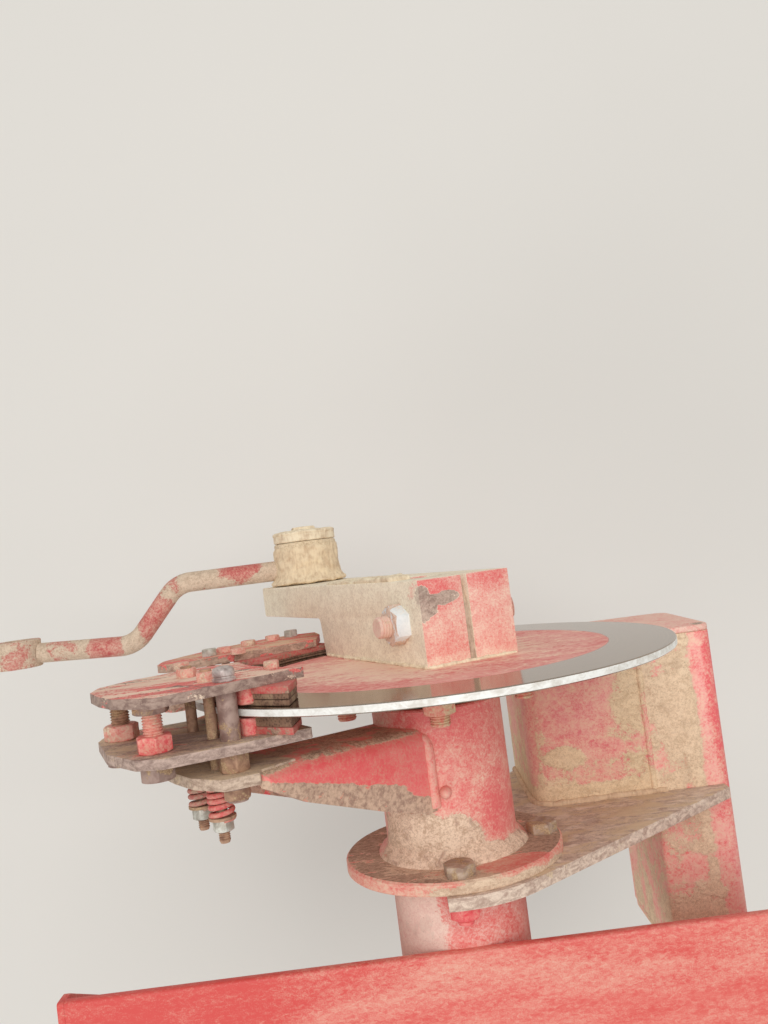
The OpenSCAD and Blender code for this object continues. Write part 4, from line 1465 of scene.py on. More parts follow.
@dataclass
class Calipers(Assembly):
    """The lever plates, shoes, pads, pins, springs and adjusters that grip the disc."""

    thick: float = 7.0
    upper: float = 20.5
    lower: float = -19.0
    shoe: float = 16.5
    yoke_top: float = -40.0
    yoke_foot: float = -48.0
    inner_r: float = 158.0
    pad_x: float = -98.0
    backing: float = 5.0
    disc_t: float = 6.0
    pin_r: float = 7.0
    spring_room: float = 26.0
    m8_flats: float = 13.0
    m8_head: float = 6.5
    screw_d: float = 13.8
    screw_flats: float = 22.0
    button: Point = (-132.4, 139.6)
    button_r: float = 7.2
    mark: Point = (-212.0, 170.0)
    pin: Point = past(10, 133.3)
    ties: tuple[Point, ...] = (past(11.2, 138.8), past(7.3, 150.8))
    screws: tuple[Point, ...] = (past(52, 140), past(53.7, 157.3))
    shoe_pins: tuple[Point, ...] = (past(20.3, 203.5), past(33.7, 234.4))
    shoe_bolts: tuple[Point, ...] = (
        past(-14, 202.4), past(17.5, 208.6), past(26.5, 219.8), past(29.5, 228.2))
    top_finish: WornPlate = WornPlate(
        "lever_top_steel", steel=(176, 150, 136), dark=(128, 102, 92), paint=(236, 134, 124),
        dust=(240, 214, 190), paint_deep=(214, 84, 82), painted=0.5, dusty=0.27, streak=(0.3, 1, 0.9),
        crisp=0.1, patchy=2.2, seed=83)
    low_finish: WornPlate = WornPlate(
        "lever_low_steel", steel=(196, 170, 156), dark=(138, 114, 104), painted=0.12, dusty=0.24,
        streak=(0.3, 1, 0.9), seed=89)
    shoe_finish: WornPlate = WornPlate(
        "shoe_steel", steel=(204, 172, 150), dark=(150, 118, 102), paint=(232, 136, 126),
        paint_deep=(212, 84, 82), painted=0.66, dusty=0.26, streak=(0.4, 1, 0.9), crisp=0.12, patchy=2.0,
        seed=97)
    steel_finish: Metal = Metal(
        "pin_steel", bright=(172, 146, 134), dull=(136, 108, 98), stained=0.4, shine=0.2, roughness=0.48,
        seed=7)
    cap_finish: Metal = Metal(
        "pin_cap_steel", bright=(208, 196, 190), dull=(156, 140, 134), stained=0.22, shine=0.35,
        roughness=0.36, seed=17)
    rust_finish: Metal = Metal(
        "rusty_nuts", bright=(190, 152, 124), dull=(144, 108, 88), stained=0.42, shine=0.12, roughness=0.6,
        seed=9)
    zinc_finish: Metal = Metal(
        "zinc_nuts", bright=(216, 214, 204), dull=(170, 162, 148), stained=0.25, shine=0.5, roughness=0.4,
        seed=13)
    nut_finish: Weathered = Weathered(
        "dusty_nuts", paint=(214, 96, 92), faded=(230, 152, 140), dust=(228, 200, 174),
        dust_dark=(186, 156, 132), bare=(140, 114, 100), fade=0.5, dusty=0.22, settle=0.2, chipped=-0.1,
        grain=80, relief=0.3, speckled=0.5, seed=103)
    red_finish: Weathered = Weathered(
        "caliper_red", paint=(222, 76, 80), faded=(240, 142, 138), fade=0.42, dusty=0.0, settle=0.05,
        chipped=-0.4, grain=55, gloss=0.4, relief=0.3, speckled=0.3, seed=101)
    red_spring: Weathered = Weathered(
        "spring_red", paint=(206, 70, 74), faded=(232, 130, 122), dust=(206, 170, 146), fade=0.42,
        dusty=0.1, chipped=-0.4, grain=60, relief=0.5, speckled=0.42, seed=105)
    dull_spring: Weathered = Weathered(
        "spring_dull", paint=(176, 84, 82), faded=(204, 124, 114), dust=(196, 162, 140),
        dust_dark=(150, 120, 104), fade=0.5, dusty=0.3, chipped=-0.3, grain=60, relief=0.5, speckled=0.5,
        seed=107)
    back_finish: Weathered = Weathered(
        "pad_back_paint", paint=(196, 66, 68), faded=(206, 104, 98), dust=(180, 146, 124),
        dust_dark=(128, 98, 84), fade=0.4, dusty=0.26, chipped=-0.1, grain=60, relief=0.4, speckled=0.4,
        seed=109)
    lining: Friction = Friction()

    def build(self) -> None:
        """Makes every piece of the brake."""
        self._levers()
        self._shoes()
        self._pads()
        self._pin()
        self._ties()
        self._adjusters()
        self._shoe_hardware()

    def _plate(self, name: str, outline: Sequence[Point], top: float, holes: Sequence[tuple[Point, float]]
               ) -> bpy.types.Object:
        """Makes one flame-cut plate with its inner edge cut round the shaft.

        Args:
            name: Name of the piece.
            outline: Its corners.
            top: Height of its upper face.
            holes: Place and diameter of each hole.

        Returns:
            The piece.
        """
        plate = Bench.prism(name, DISC, rounded(outline, 3, 3), top - self.thick, top)
        tools = [Bench.prism("swing", DISC, arc(self.inner_r, 0, 357, 119), top - 20, top + 20)]
        tools += [Bench.prism(f"hole_{k}", DISC.moved(*p), arc(d / 2, 0, 345, 23), top - 20, top + 20)
                  for k, (p, d) in enumerate(holes)]
        Bench.cut(plate, *tools)
        Bench.soften(plate, 0.7)
        return plate

    def _levers(self) -> None:
        """Makes the two lever plates."""
        holes = [(self.pin, 14.6)] + [(p, 9.0) for p in self.ties] + [(p, 14.6) for p in self.screws]
        upper = [past(o, a) for o, a in (
            (-42.5, 125.6), (13, 130), (67.7, 133), (76.6, 141), (76.4, 146.4), (75, 152.7), (66.3, 157.7),
            (44.8, 161.4), (12.1, 164.1), (-16, 165.5), (-41.9, 165.3))]
        lower = [past(o, a) for o, a in (
            (-29, 121.4), (18, 128.3), (62.4, 133.9), (72.5, 137.5), (74.6, 146.9), (70.4, 158.7),
            (66.6, 161.6), (45.2, 164.4), (11.5, 164.7), (-16, 165.5), (-41.9, 165.3))]
        plate = self._plate("upper_lever_plate", upper, self.upper, holes + [(self.mark, 3.2)])
        self.dress(plate, Slot.WORN_PLATE, self.top_finish, ["upper_lever"])
        plate = self._plate("lower_lever_plate", lower, self.lower, holes)
        self.dress(plate, Slot.WORN_PLATE, self.low_finish, ["lower_lever"])

    def _shoes(self) -> None:
        """Makes the two shoe plates further round the disc."""
        outline = [past(o, a) for o, a in (
            (-44.2, 228.1), (-12.1, 205.2), (36.7, 191.5), (51, 193.4), (60.6, 199.3), (60.1, 207),
            (60, 218), (57.9, 229.4), (49.6, 236.4), (32.7, 241.2), (-0.4, 238.5))]
        holes = [(p, 9.0) for p in self.shoe_pins] + [(p, 8.0) for p in self.shoe_bolts]
        for name, top, node in (("upper_shoe_plate", self.shoe, "upper_shoe"),
                                ("lower_shoe_plate", self.lower, "lower_shoe")):
            plate = self._plate(name, outline, top, holes)
            self.dress(plate, Slot.WORN_PLATE, self.shoe_finish, [node])

    def _pads(self) -> None:
        """Makes the pads, each a painted steel back and a lining in two layers, and the round buttons."""
        backs, linings = [], []
        low_face = -self.disc_t - 0.3
        pads = (("near", 121, 150, 10, 6, 13.5), ("deep", 204, 236, 11, 4, 9.5))
        for tag, start, stop, steps, inset, up in pads:
            back = sector(self.inner_r + 3, DISC_R - inset, start, stop, steps)
            pad = sector(self.inner_r + 3.6, DISC_R - 1 - inset, start + 0.4, stop - 0.4, steps)
            if tag == "near":
                back = [(min(x, self.pad_x), z) for x, z in back]
                pad = [(min(x, self.pad_x - 0.6), z) for x, z in pad]
            for side, face, away, end in (("top", up, -1, 0.3), ("low", self.lower, 1, low_face)):
                seat = face + away * self.backing
                middle = (seat + end) / 2
                backs.append(Bench.prism(f"{tag}_{side}_back", DISC, back, face, seat))
                linings.append(Bench.prism(f"{tag}_{side}_lining", DISC, pad, seat, middle + 0.25))
                linings.append(Bench.prism(f"{tag}_{side}_facing", DISC, pad, middle - 0.25, end))
        for piece in backs + linings:
            Bench.soften(piece, 0.5)
        self.dress(Bench.join("pad_backs", *backs), Slot.PAINT, self.back_finish, ["pad_backings"])
        self.dress(Bench.join("pad_facings", *linings), Slot.LINING, self.lining, ["pad_linings"])
        datum, r = DISC.moved(*self.button), self.button_r
        chamfer = r - 0.6
        buttons = [
            Bench.turned("button_top", datum, [
                (0, 1.6), (chamfer, 1.6), (r, 2.4), (r, 13.5), (0, 13.5)], 24), Bench.turned(
                "button_low", datum, [(0, -19), (r, -19), (r, -8.2), (chamfer, -7.6), (0, -7.6)], 24)]
        self.dress(Bench.join("pad_buttons", *buttons), Slot.PAINT, self.red_finish)

    def _pin(self) -> None:
        """Makes the main pin with its domed cap, collar nut, washer and lower nut."""
        datum, r, foot = DISC.moved(*self.pin), self.pin_r, self.yoke_foot
        seat, top = self.upper, self.upper + 10
        shank = Bench.turned("pin_shank", datum, [(0, seat + 2), (r, seat + 2), (r, -60), (0, -60)], 32)
        cap = Bench.turned("pin_cap", datum, [
            (0, seat), (7.6, seat), (8, seat + 0.5), (8, seat + 2.2), (6.9, seat + 2.6), (6.9, seat + 3.4),
            (7.6, seat + 4), (7.6, top - 3.2), (7, top - 1.6), (5.6, top - 0.5), (4.0, top),
            (0, top - 0.2)], 40)
        self.dress(cap, Slot.STEEL, self.cap_finish)
        washer = Bench.turned("pin_washer", datum, [(0, foot), (10, foot), (10, foot - 3), (0, foot - 3)], 32)
        self.dress(Bench.join("brake_pin_bar", shank, washer), Slot.STEEL, self.steel_finish, ["brake_pin"])
        nuts = [
            Bench.hexagon("pin_collar", datum, self.yoke_top, self.lower - self.thick, 19, 8, both=True),
            Bench.hexagon("pin_nut", datum, foot - 3, foot - 10.4, 17, 25)]
        self.dress(Bench.join("brake_pin_nuts", *nuts), Slot.STEEL, self.rust_finish)

    def _ties(self) -> None:
        """Makes the tie rods, their nuts, the two loaded springs and the small bolts beside them."""
        rods, nuts, seats, heads = [], [], [], []
        top, low, flats = self.upper, self.yoke_foot - self.spring_room, self.m8_flats
        for k, p in enumerate(self.ties):
            datum = DISC.moved(*p)
            rods.append(Bench.turned(f"tie_{k}", datum, [(0, top + 8), (4, top + 8), (4, low), (0, low)], 20))
            rods.append(Bench.thread(f"tie_thread_{k}", datum, low, low - 16.4, 8, 1.5))
            heads.append(Bench.hexagon(f"tie_head_{k}", datum, top, top + self.m8_head, flats, 17 + 22 * k))
            nuts.append(Bench.hexagon(f"tie_nut_{k}", datum, low, low - 8.2, flats, 5 + 31 * k, both=True))
            seats.append(Bench.turned(
                f"tie_seat_{k}", datum, [(0, low + 2), (9.6, low + 2), (9.6, low), (0, low)], 28))
            spring = Bench.spring(f"brake_spring_{k}", datum, self.yoke_foot, low + 2, 18.8, 3.7, 6.2)
            finish = self.dull_spring if k else self.red_spring
            self.dress(spring, Slot.PAINT, finish, [] if k else ["brake_springs"], angle=80)
        self.dress(Bench.join("tie_bars", *rods), Slot.STEEL, self.rust_finish, ["tie_rods"])
        self.dress(Bench.join("tie_nuts", *nuts), Slot.STEEL, self.zinc_finish)
        self.dress(Bench.join("tie_seats", *seats), Slot.STEEL, self.rust_finish)
        for k, (place, across) in enumerate((((-199, 40), 12), ((-117, 112), 10))):
            heads.append(Bench.hexagon(
                f"lever_head_{k}", DISC.moved(*place), top, top + 5.4, across, 8 + 31 * k))
        self.dress(Bench.join("lever_bolt_heads", *heads), Slot.PAINT, self.nut_finish)

    def _adjusters(self) -> None:
        """Makes the adjusting screws that hold the lever plates apart."""
        bars, nuts, dark, ends = [], [], [], []
        low, flats, r = self.lower, self.screw_flats, self.screw_d / 2
        under = low - self.thick
        for k, p in enumerate(self.screws):
            datum = DISC.moved(*p)
            bars.append(Bench.thread(f"screw_{k}", datum, low, self.upper - 7.2, self.screw_d, 2.0))
            nuts.append(Bench.hexagon(
                f"screw_nut_{k}", datum, low, low + 11.3, flats, 10 + 25 * k, both=True))
            (nuts if k else dark).append(Bench.hexagon(
                f"screw_jam_{k}", datum, 13.4, 6.6, flats, 28 - 20 * k, both=True))
            dark.append(Bench.hexagon(f"screw_head_{k}", datum, under, under - 11.5, flats, 14 + 9 * k))
            ends.append(Bench.turned(
                f"screw_end_{k}", datum, [(0, 14), (r, 14), (r, 20), (6, 20.6), (0, 20.6)], 24))
        self.dress(bars[0], Slot.PAINT, self.nut_finish, ["adjusters"])
        self.dress(bars[1], Slot.STEEL, self.rust_finish)
        self.dress(nuts[0], Slot.PAINT, self.red_finish)
        self.dress(Bench.join("adjuster_nuts", *nuts[1:]), Slot.PAINT, self.nut_finish)
        self.dress(Bench.join("adjuster_heads", *dark), Slot.STEEL, self.steel_finish)
        self.dress(Bench.join("adjuster_ends", *ends), Slot.STEEL, self.top_finish)

    def _shoe_hardware(self) -> None:
        """Makes the bolts and spacers of the shoe plates."""
        heads, dull, spacers = [], [], []
        top, foot, flats, head = self.shoe, self.yoke_foot, self.m8_flats, self.m8_head
        under = self.lower - self.thick
        for k, p in enumerate(self.shoe_bolts):
            datum = DISC.moved(*p)
            dull.append(Bench.hexagon(f"shoe_head_{k}", datum, top, top + 5.1, flats, 11 + 17 * k))
            if k:
                dull.append(Bench.hexagon(f"shoe_nut_{k}", datum, under, under - head, flats, 4 + 19 * k))
                bar = [(0, top), (3.95, top), (3.95, under), (0, under)]
                spacers.append(Bench.turned(f"shoe_bar_{k}", datum, bar, 16))
        for k, p in enumerate(self.shoe_pins):
            datum = DISC.moved(*p)
            heads.append(Bench.hexagon(f"shoe_pin_head_{k}", datum, top, top + head, flats, 20 + 9 * k))
            heads.append(Bench.hexagon(f"shoe_pin_nut_{k}", datum, foot, foot - head, flats, 3 + 9 * k))
            spacers.append(Bench.turned(
                f"shoe_pin_{k}", datum,
                [(0, top), (4, top), (4, under), (7, under), (7, self.yoke_top), (0, self.yoke_top)], 24))
        self.dress(Bench.join("shoe_bolt_heads", *heads), Slot.STEEL, self.zinc_finish, ["shoe_bolts"])
        self.dress(Bench.join("shoe_bolt_dull", *dull), Slot.PAINT, self.nut_finish)
        self.dress(Bench.join("shoe_spacers", *spacers), Slot.STEEL, self.rust_finish)


@dataclass
class DiscAndHub(Assembly):
    """The brake disc, the hub behind it and its studs."""

    body: ClassVar[Body] = Body.CRANK
    thick: float = 6.0
    shaft_r: float = 20.05
    hub_r: float = 95.0
    hub_back: float = -20.0
    hub_end: float = -35.0
    stud_r: float = 75.0
    disc_finish: DiscFace = DiscFace("disc_face")
    hub_finish: Weathered = Weathered(
        "hub_paint", paint=(170, 70, 66), dusty=0.3, settle=0.2, chipped=0.2, seed=111)
    stud_finish: Weathered = Weathered(
        "stud_paint", paint=(212, 88, 86), faded=(230, 146, 134), fade=0.5, dusty=0.3, chipped=-0.3,
        grain=60, relief=0.3, speckled=0.5, seed=113)
    shaft_finish: Metal = Metal(
        "shaft_steel", bright=(150, 142, 132), dull=(118, 104, 92), stained=0.4, shine=0.5)

    def build(self) -> None:
        """Makes the disc, the hub and the studs, and coats the shaft and its bearings."""
        r, bore, back = DISC_R, self.shaft_r, -self.thick
        disc = Bench.turned("disc_plate", DISC, [
            (bore, back), (r - 0.7, back), (r, 0.7 + back), (r, -0.7), (r - 0.7, 0), (bore, 0)], steps=180)
        self.dress(disc, Slot.DISC_STEEL, self.disc_finish, ["brake_disc"])
        rim, foot, end = self.hub_r, self.hub_back, self.hub_end
        hub = Bench.turned("hub_turning", DISC, [
            (bore, back), (rim - 1, back), (rim, back - 1), (rim, foot + 1), (rim - 1, foot), (40, foot),
            (36.5, foot - 1.4), (35, foot - 5), (35, end + 1), (34, end), (bore, end)], steps=96)
        self.dress(hub, Slot.WORN_PLATE, self.hub_finish, ["hub_flange"])
        studs = []
        for k, (c, s) in enumerate(((1, 0), (0, 1), (-1, 0), (0, -1))):
            datum = DISC.moved(self.stud_r * c, self.stud_r * s)
            studs.append(Bench.hexagon(f"stud_nut_{k}", datum, foot, foot - 14.0, 24, 7 + 21 * k))
            studs.append(Bench.thread(f"stud_tail_{k}", datum, -31, -43.4, 16, 1.9))
        self.dress(Bench.join("stud_ends", *studs), Slot.PAINT, self.stud_finish, ["disc_studs"])
        self.coat(self.shaft_finish, "shaft", "front_bearing", "rear_bearing")


@dataclass
class CrankArm(Assembly):
    """The split-clamp crank arm with its bolt, pin and cap."""

    body: ClassVar[Body] = Body.CRANK
    half: float = 41.5
    height: float = 68.0
    back: float = -65.0
    foot: float = 142.0
    step: float = 148.0
    lift: float = 36.0
    reach: float = 315.0
    shaft_r: float = 20.05
    pin_r: float = 15.0
    play: float = 0.05
    clamp_d: float = 16.0
    slit: float = 5.0
    cap_r: float = 34.0
    cap_t: float = 9.0
    cap_seat: float = 115.0
    clamp_u: float = -30.5
    clamp_v: float = 34.0
    finish: Weathered = Weathered(
        "crank_paint", paint=(230, 98, 98), faded=(236, 146, 136), dust=(252, 240, 216),
        dust_dark=(228, 212, 188), bare=(186, 160, 146), bare_dark=(150, 126, 114), fade=0.55, dusty=-0.1,
        settle=-0.2, chipped=-0.6, grain=22, gloss=0.45, relief=0.35, speckled=0.72, sharp=0.55, seed=121,
        zones=(
            Side(DUST, (-0.899, 0, 0.438), 1.3), Side(DUST, (0, 1, 0), 1.0),
            Side(DUST, (-0.438, 0, -0.899), 0.9), Zone(BARE, (-2, 50, 74), (13, 20, 13), 1.3),
            Zone(BARE, (19, 53, 64), (16, 7, 14), 1.4), Zone(BARE, (9, 47, 69), (12, 9, 12), 0.8),
            Zone(FADE, (4, 58, 70), (22, 16, 22), -0.6), Zone(DUST, (6, 58, 70), (26, 16, 26), -0.5),
            Zone(DUST, (52, 68, 46), (34, 12, 20), -0.4), Zone(DUST, (12, 34, 66), (12, 30, 20), -0.2),
            Zone(FADE, (22, 40, 62), (14, 40, 20), -0.3), Zone(FADE, (52, 66, 46), (34, 14, 20), -0.7),
            Zone(DUST, (20, 0, 62), (70, 10, 40), 0.5)))
    # The clamp nut's Side zones are dust and painted shade at once. They dull the end face and the flanks
    # that look along ±y, so that only the other facets stay bright zinc.
    zinc_finish: Weathered = Weathered(
        "clamp_zinc", paint=(216, 224, 226), faded=(242, 246, 246), dust=(232, 206, 186),
        dust_dark=(204, 172, 154), fade=0.5, dusty=-0.6, settle=0.0, chipped=-0.6, grain=60, gloss=0.3,
        relief=0.25, speckled=0.1, sharp=0.5, seed=21, zones=(
            Side(DUST, (-0.899, 0, 0.438), 1.2), Side(DUST, (0, 1, 0), 1.1), Side(DUST, (0, -1, 0), 1.15)))
    pink_finish: Weathered = Weathered(
        "clamp_thread", paint=(222, 164, 152), faded=(238, 202, 188), dust=(234, 208, 184), fade=0.6,
        dusty=0.22, chipped=-0.2, grain=60, relief=0.3, speckled=0.5, seed=125)
    head_finish: Weathered = Weathered(
        "clamp_head", paint=(196, 120, 118), faded=(218, 164, 158), dusty=0.1, chipped=-0.1, grain=60,
        relief=0.3, speckled=0.5, seed=127)
    dust_finish: DriedDust = DriedDust()
    slit_finish: DriedDust = DriedDust("slit_dust", light=(206, 184, 160), dark=(150, 126, 106))

    def build(self) -> None:
        """Makes the arm, the clamp bolt and the crank pin."""
        self._arm()
        self._clamp()
        self._pin()
        self._dust()

    def _arm(self) -> None:
        """Makes the stepped arm with its bores and slit."""
        outline = rounded([
            (self.back, 0), (self.foot, 0), (self.step, self.lift), (self.reach, self.lift),
            (self.reach, self.height), (self.back, self.height)], [0, 3, 6, 3, 3, 0], 4)
        arm = Bench.prism("crank_forging", CRANK, outline, -self.half, self.half)
        shaft = Bench.prism("shaft_bore", DISC, arc(self.shaft_r, 0, 352.5, 47), -5, 80)
        slit = Bench.prism(
            "slit", CRANK, box_outline(self.back - 5, 0, -5, 80), -self.slit / 2, self.slit / 2)
        hole = arc(self.clamp_d / 2 + self.play, 0, 345, 23)
        bolt = Bench.prism("bolt_bore", CRANK.moved(self.clamp_u, self.clamp_v), hole, -60, 60)
        pin = Bench.prism("pin_bore", PIN, arc(self.pin_r + self.play, 0, 352.5, 47), 20, 80)
        Bench.cut(arm, shaft, slit, bolt, pin)
        Bench.soften(arm, 1.1, 2)
        self.dress(arm, Slot.PAINT, self.finish, ["crank_arm"])

    def _clamp(self) -> None:
        """Makes the clamp bolt, its nut on the near side and its head on the far side."""
        datum = CRANK.moved(self.clamp_u, self.clamp_v)
        near, far, r = -self.half, self.half, self.clamp_d / 2
        seat = far + 6
        nut = Bench.hexagon("clamp_nut", datum, near, near - 12.2, 28.5, 30)
        self.dress(nut, Slot.ZINC, self.zinc_finish, ["clamp_bolt"])
        tail = Bench.thread("clamp_thread_end", datum, near - 10, near - 22.5, 17.4, 2.4)
        shank = Bench.turned("clamp_shank", datum, [(0, near - 12), (r, near - 12), (r, far), (0, far)], 24)
        self.dress(Bench.join("clamp_shank", shank, tail), Slot.ZINC, self.pink_finish)
        spacer = Bench.turned("clamp_spacer", datum, [
            (0, far), (12.4, far), (13, far + 0.6), (13, seat - 0.6), (12.4, seat), (0, seat)], 32)
        head = Bench.hexagon("clamp_head", datum, seat, seat + 10.2, 25, 26)
        self.dress(Bench.join("clamp_head", head, spacer), Slot.ZINC, self.head_finish)

    def _dust(self) -> None:
        """Makes the dust that fills the slit and has caked on the arm's top and along its foot."""
        top, back = self.height, self.back
        fill = Bench.prism("slit_dust", CRANK, [
            (back + 0.8, 0.4), (-21, 0.4), (-21, top - 3), (back + 9, top - 3), (back + 6, top - 14),
            (back + 1.6, top - 26)], -self.slit / 2, self.slit / 2)
        self.dress(fill, Slot.PAINT, self.slit_finish, angle=70)
        near, far, end = -self.half - 0.2, self.half + 0.2, back - 0.2
        foot = [CRANK.at(*place) for place in (
            (self.foot - 4, 1.4, near), (90, 0.8, near), (40, 1.2, near), (0, 0.7, near),
            (end + 3, 1.1, near - 0.3), (end, 0.8, near + 3), (end, 0.6, -10), (end, 0.7, 12),
            (end, 0.4, far - 2))]
        bead = Bench.drawn("crank_foot_dust", foot, 1.5, sides=3)
        Bench.rough(bead, 2.2, 8, cell=0.9)
        self.dress(bead, Slot.PAINT, self.dust_finish, angle=80)
        hump = rounded([
            (-14, top - 1), (122, top - 1), (121, top + 2.2), (100, top + 1.2), (84, top + 3.4),
            (62, top + 1.6), (44, top + 4.4), (20, top + 2.6), (2, top + 5.0), (-12, top + 3.4)], 0.8, 2)
        cake = Bench.prism("crank_top_dust", CRANK, hump, near + 1.0, near + 22)
        Bench.rough(cake, 3.0, 9, cell=1.3)
        self.dress(cake, Slot.PAINT, self.dust_finish, angle=80)

    def _pin(self) -> None:
        """Makes the crank pin with its cap and top nut, and the dust on the cap."""
        r, rim, seat = self.pin_r, self.cap_r, self.cap_seat
        top = seat + self.cap_t
        pin = Bench.turned("crank_pin_bar", PIN, [
            (0, self.lift), (r, self.lift), (r, seat), (rim - 1, seat), (rim, seat + 1), (rim, top - 1.6),
            (rim - 1.6, top), (0, top)], 56)
        nut = Bench.hexagon("crank_pin_nut", PIN, top, top + 7.2, 24, 13)
        self.dress(Bench.join("crank_pin_bar", pin, nut), Slot.STEEL, self.dust_finish, ["crank_pin"])
        cake = Bench.turned("pin_dust", PIN, [
            (0, top - 2), (rim - 1, top - 2), (rim + 0.2, top), (rim - 0.4, top + 2.4), (27, top + 3.4),
            (16, top + 4), (0, top + 4)], 48)
        Bench.rough(cake, 3.6, 10, cell=1.5)
        self.dress(cake, Slot.PAINT, self.dust_finish, angle=80)


@dataclass
class PullRod(Assembly):
    """The rod that the crank pin pulls, with its two eyes."""

    body: ClassVar[Body] = Body.ROD
    r: float = 11.0
    high: float = 86.0
    first: float = 147.0
    second: float = 54.0
    drop: float = 62.0
    third: float = 132.0
    bend: float = 34.0
    rise: float = 6.0
    eye_r: float = 34.0
    eye_bore: float = 15.05
    eye_y: tuple[float, float] = (68.5, 114.5)
    far_r: float = 26.0
    far_bore: float = 12.5
    far_half: float = 15.0
    # The rod's dark red paint is partly its own dark red and partly painted shade. It is set darker than the
    # lit rod, to stand for the shadow over its slope.
    finish: Weathered = Weathered(
        "rod_paint", paint=(184, 72, 68), faded=(208, 112, 102), dust=(220, 198, 174),
        dust_dark=(190, 166, 142), fade=0.35, dusty=0.62, settle=0.05, chipped=-0.4, grain=30, relief=0.5,
        speckled=0.44, seed=131, zones=(
            Zone(DUST, (-188, 94, -240), (24, 13, 40), -0.7),
            Zone(DUST, (-236, 84, -246), (26, 30, 40), 0.2),
            Zone(DUST, (-287, 52, -246), (24, 28, 40), -0.5),
            Zone(DUST, (-316, 26, -246), (12, 18, 40), 0.3),
            Zone(DUST, (-346, 24, -246), (24, 24, 40), -0.5)))
    eye_finish: Weathered = Weathered(
        "eye_paint", paint=(198, 84, 76), faded=(216, 130, 112), dust=(238, 218, 186),
        dust_dark=(208, 184, 150), fade=0.4, dusty=0.9, settle=0.1, chipped=-0.3, grain=30, relief=0.9,
        seed=137)
    dust_finish: DriedDust = DriedDust("eye_crust", light=(238, 216, 182), dark=(200, 172, 140))

    def _line(self) -> list[Vector]:
        """Gives the places along the rod's centre line.

        Returns:
            The places in metres, with both bends rounded.
        """
        x1 = -self.first
        x2 = x1 - self.second
        x3 = x2 - self.third
        corners = [(-33.0, self.high), (x1, self.high), (x2, self.high - self.drop), (
            x3 + 25.0, self.high - self.drop + self.rise * 0.8)]
        points: list[Point] = [corners[0]]
        for a, b, c in zip(corners, corners[1:], corners[2:]):
            va, vb, vc = Vector(a), Vector(b), Vector(c)
            one, two = (va - vb).normalized(), (vc - vb).normalized()
            half = one.angle(two) / 2
            back = self.bend / math.tan(half)
            middle = vb + (one + two).normalized() * (self.bend / math.sin(half))
            start, stop = vb + one * back - middle, vb + two * back - middle
            swing = start.angle(stop)
            for k in range(11):
                t = k / 10
                mixed = start * math.sin((1 - t) * swing) + stop * math.sin(t * swing)
                points.append(tuple(middle + mixed / math.sin(swing)))
        points.append(corners[-1])
        return [PIN.at(x, 0, y) for x, y in points]

    def build(self) -> None:
        """Makes the rod, its eye with the dust on it, and the far eye."""
        rod = Bench.drawn("rod_bar", self._line(), self.r, sides=7)
        self.dress(rod, Slot.PAINT, self.finish, ["pull_rod"], angle=60)
        bore, rim, (low, high) = self.eye_bore, self.eye_r, self.eye_y
        eye = Bench.turned("rod_eye_ring", PIN, [
            (bore, low), (rim - 1, low), (rim, low + 1), (rim, high - 1.2), (rim - 1.2, high),
            (bore, high)], 56)
        self.dress(eye, Slot.PAINT, self.eye_finish, ["rod_eye"])
        skirt = Bench.turned("eye_dust", PIN, [
            (32, 69), (41, 69.4), (42, 71.4), (38, 75.4), (35.8, 81), (35.2, 90), (35.4, 100), (34.8, 107),
            (33.6, 110), (31, 110.6)], 48)
        Bench.rough(skirt, 4.4, 9, cell=1.5)
        self.dress(skirt, Slot.PAINT, self.dust_finish, angle=80)
        middle = self.high - self.drop + self.rise
        low, high = middle - self.far_half, middle + self.far_half
        bore, rim = self.far_bore, self.far_r
        far = PIN.moved(-self.first - self.second - self.third, 0)
        ring = Bench.turned("far_eye_ring", far, [
            (bore, low), (rim - 1, low), (rim, low + 1), (rim, high - 1), (rim - 1, high),
            (bore, high)], 48)
        self.dress(ring, Slot.PAINT, self.finish, ["far_eye"])


@dataclass(frozen=True)
class Lamp:
    """A square soft lamp."""

    name: str
    way: Place
    far: float
    size: float
    power: float


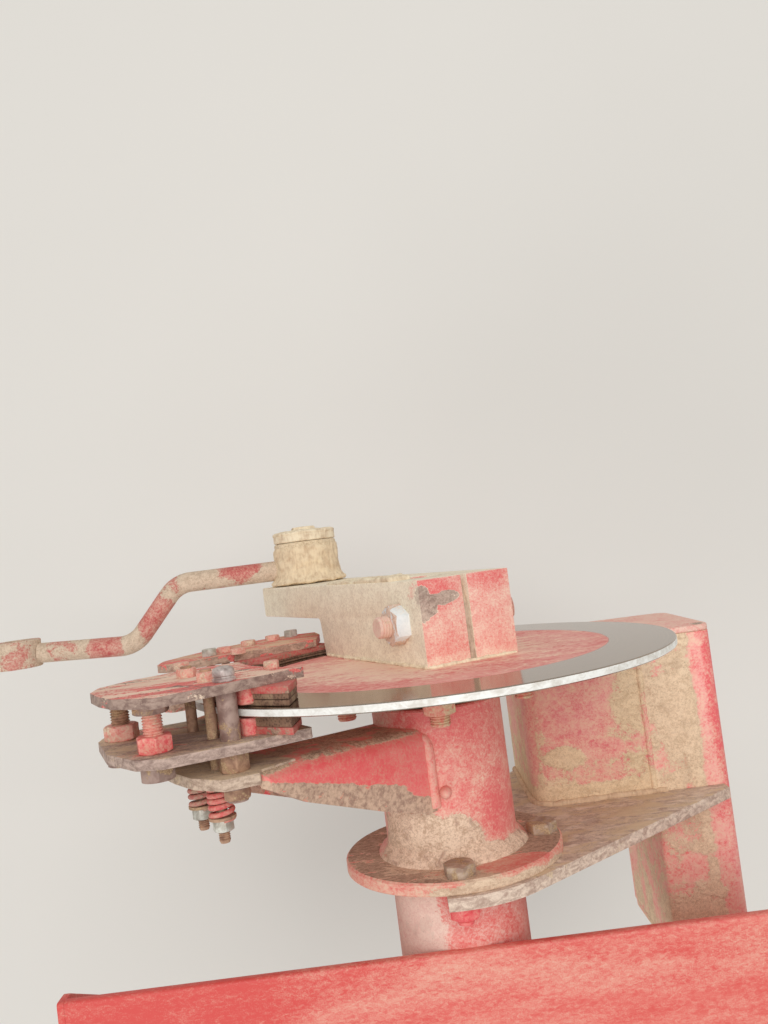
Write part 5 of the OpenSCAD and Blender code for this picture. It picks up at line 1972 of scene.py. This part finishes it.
@dataclass
class Studio:
    """The camera, the pale floor and the soft light."""

    place: Place = (-22.447, 95.443, 772.498)
    right: Place = (0.99195, -0.12654, -0.00505)
    up: Place = (0.12664, 0.99116, 0.03954)
    back: Place = (0.0, -0.03987, 0.99921)
    lens: float = 911.87 * 36 / 1024
    floor_z: float = -0.64
    fill: float = 0.55
    aim: Place = (-0.31, 0.2, 0.0)
    lamps: tuple[Lamp, ...] = (
        Lamp("key", (0.05, 0.3, 1.0), 4.2, 2.8, 96.0), Lamp("side", (-0.6, -0.7, 0.9), 4.0, 2.0, 24.0))

    def build(self) -> None:
        """Sets the camera, floor, lamps and world."""
        self._camera()
        self._floor()
        self._light()

    def _camera(self) -> None:
        """Places the camera where the photograph was taken."""
        data = bpy.data.cameras.new("camera")
        data.lens = self.lens
        data.sensor_width = 36
        data.sensor_fit = "AUTO"
        data.clip_start = 0.01
        cam = bpy.data.objects.new("camera", data)
        bpy.context.scene.collection.objects.link(cam)
        turn = Matrix((self.right, self.up, self.back)).transposed().to_4x4()
        cam.matrix_world = Matrix.Translation((AXIS + Vector(self.place)) / 1000) @ turn
        bpy.context.scene.camera = cam

    def _floor(self) -> None:
        """Lays the pale floor."""
        bpy.ops.object.select_all(action="DESELECT")
        bpy.ops.mesh.primitive_plane_add(size=14, location=(0, 0, self.floor_z))
        floor = bpy.context.active_object
        floor.name = "floor"
        s = Shader("floor_pale")
        colour = s.mix(s.noise(3, 1, 2) * 0.25, (226, 223, 217), (216, 212, 205))
        floor.data.materials.append(s.finish(colour, 0.9))

    def _light(self) -> None:
        """Hangs the soft lamps over the unit and fills the world evenly."""
        world = bpy.data.worlds.new("studio")
        bpy.context.scene.world = world
        world.use_nodes = True
        world.node_tree.nodes["Background"].inputs["Color"].default_value = (1.0, 0.99, 0.97, 1)
        world.node_tree.nodes["Background"].inputs["Strength"].default_value = self.fill
        aim = Vector(self.aim)
        for lamp in self.lamps:
            bpy.ops.object.select_all(action="DESELECT")
            place = aim + Vector(lamp.way).normalized() * lamp.far
            bpy.ops.object.light_add(type="AREA", location=place)
            obj = bpy.context.active_object
            obj.name = lamp.name
            obj.data.size = lamp.size
            obj.data.energy = lamp.power
            obj.rotation_euler = (aim - place).to_track_quat("-Z", "Y").to_euler()


def main() -> None:
    """Builds the assemblies in order."""
    logging.basicConfig(level=logging.INFO, format="%(name)s: %(message)s")
    bpy.context.scene.view_settings.view_transform = "Standard"
    Studio().build()
    shop = PaintShop()
    for kind in (FrameWork, TubeMount, BrakeArm, Calipers, DiscAndHub, CrankArm, PullRod):
        LOG.info("building %s", kind.__name__)
        kind(shop).build()


if __name__ == "__main__":
    main()
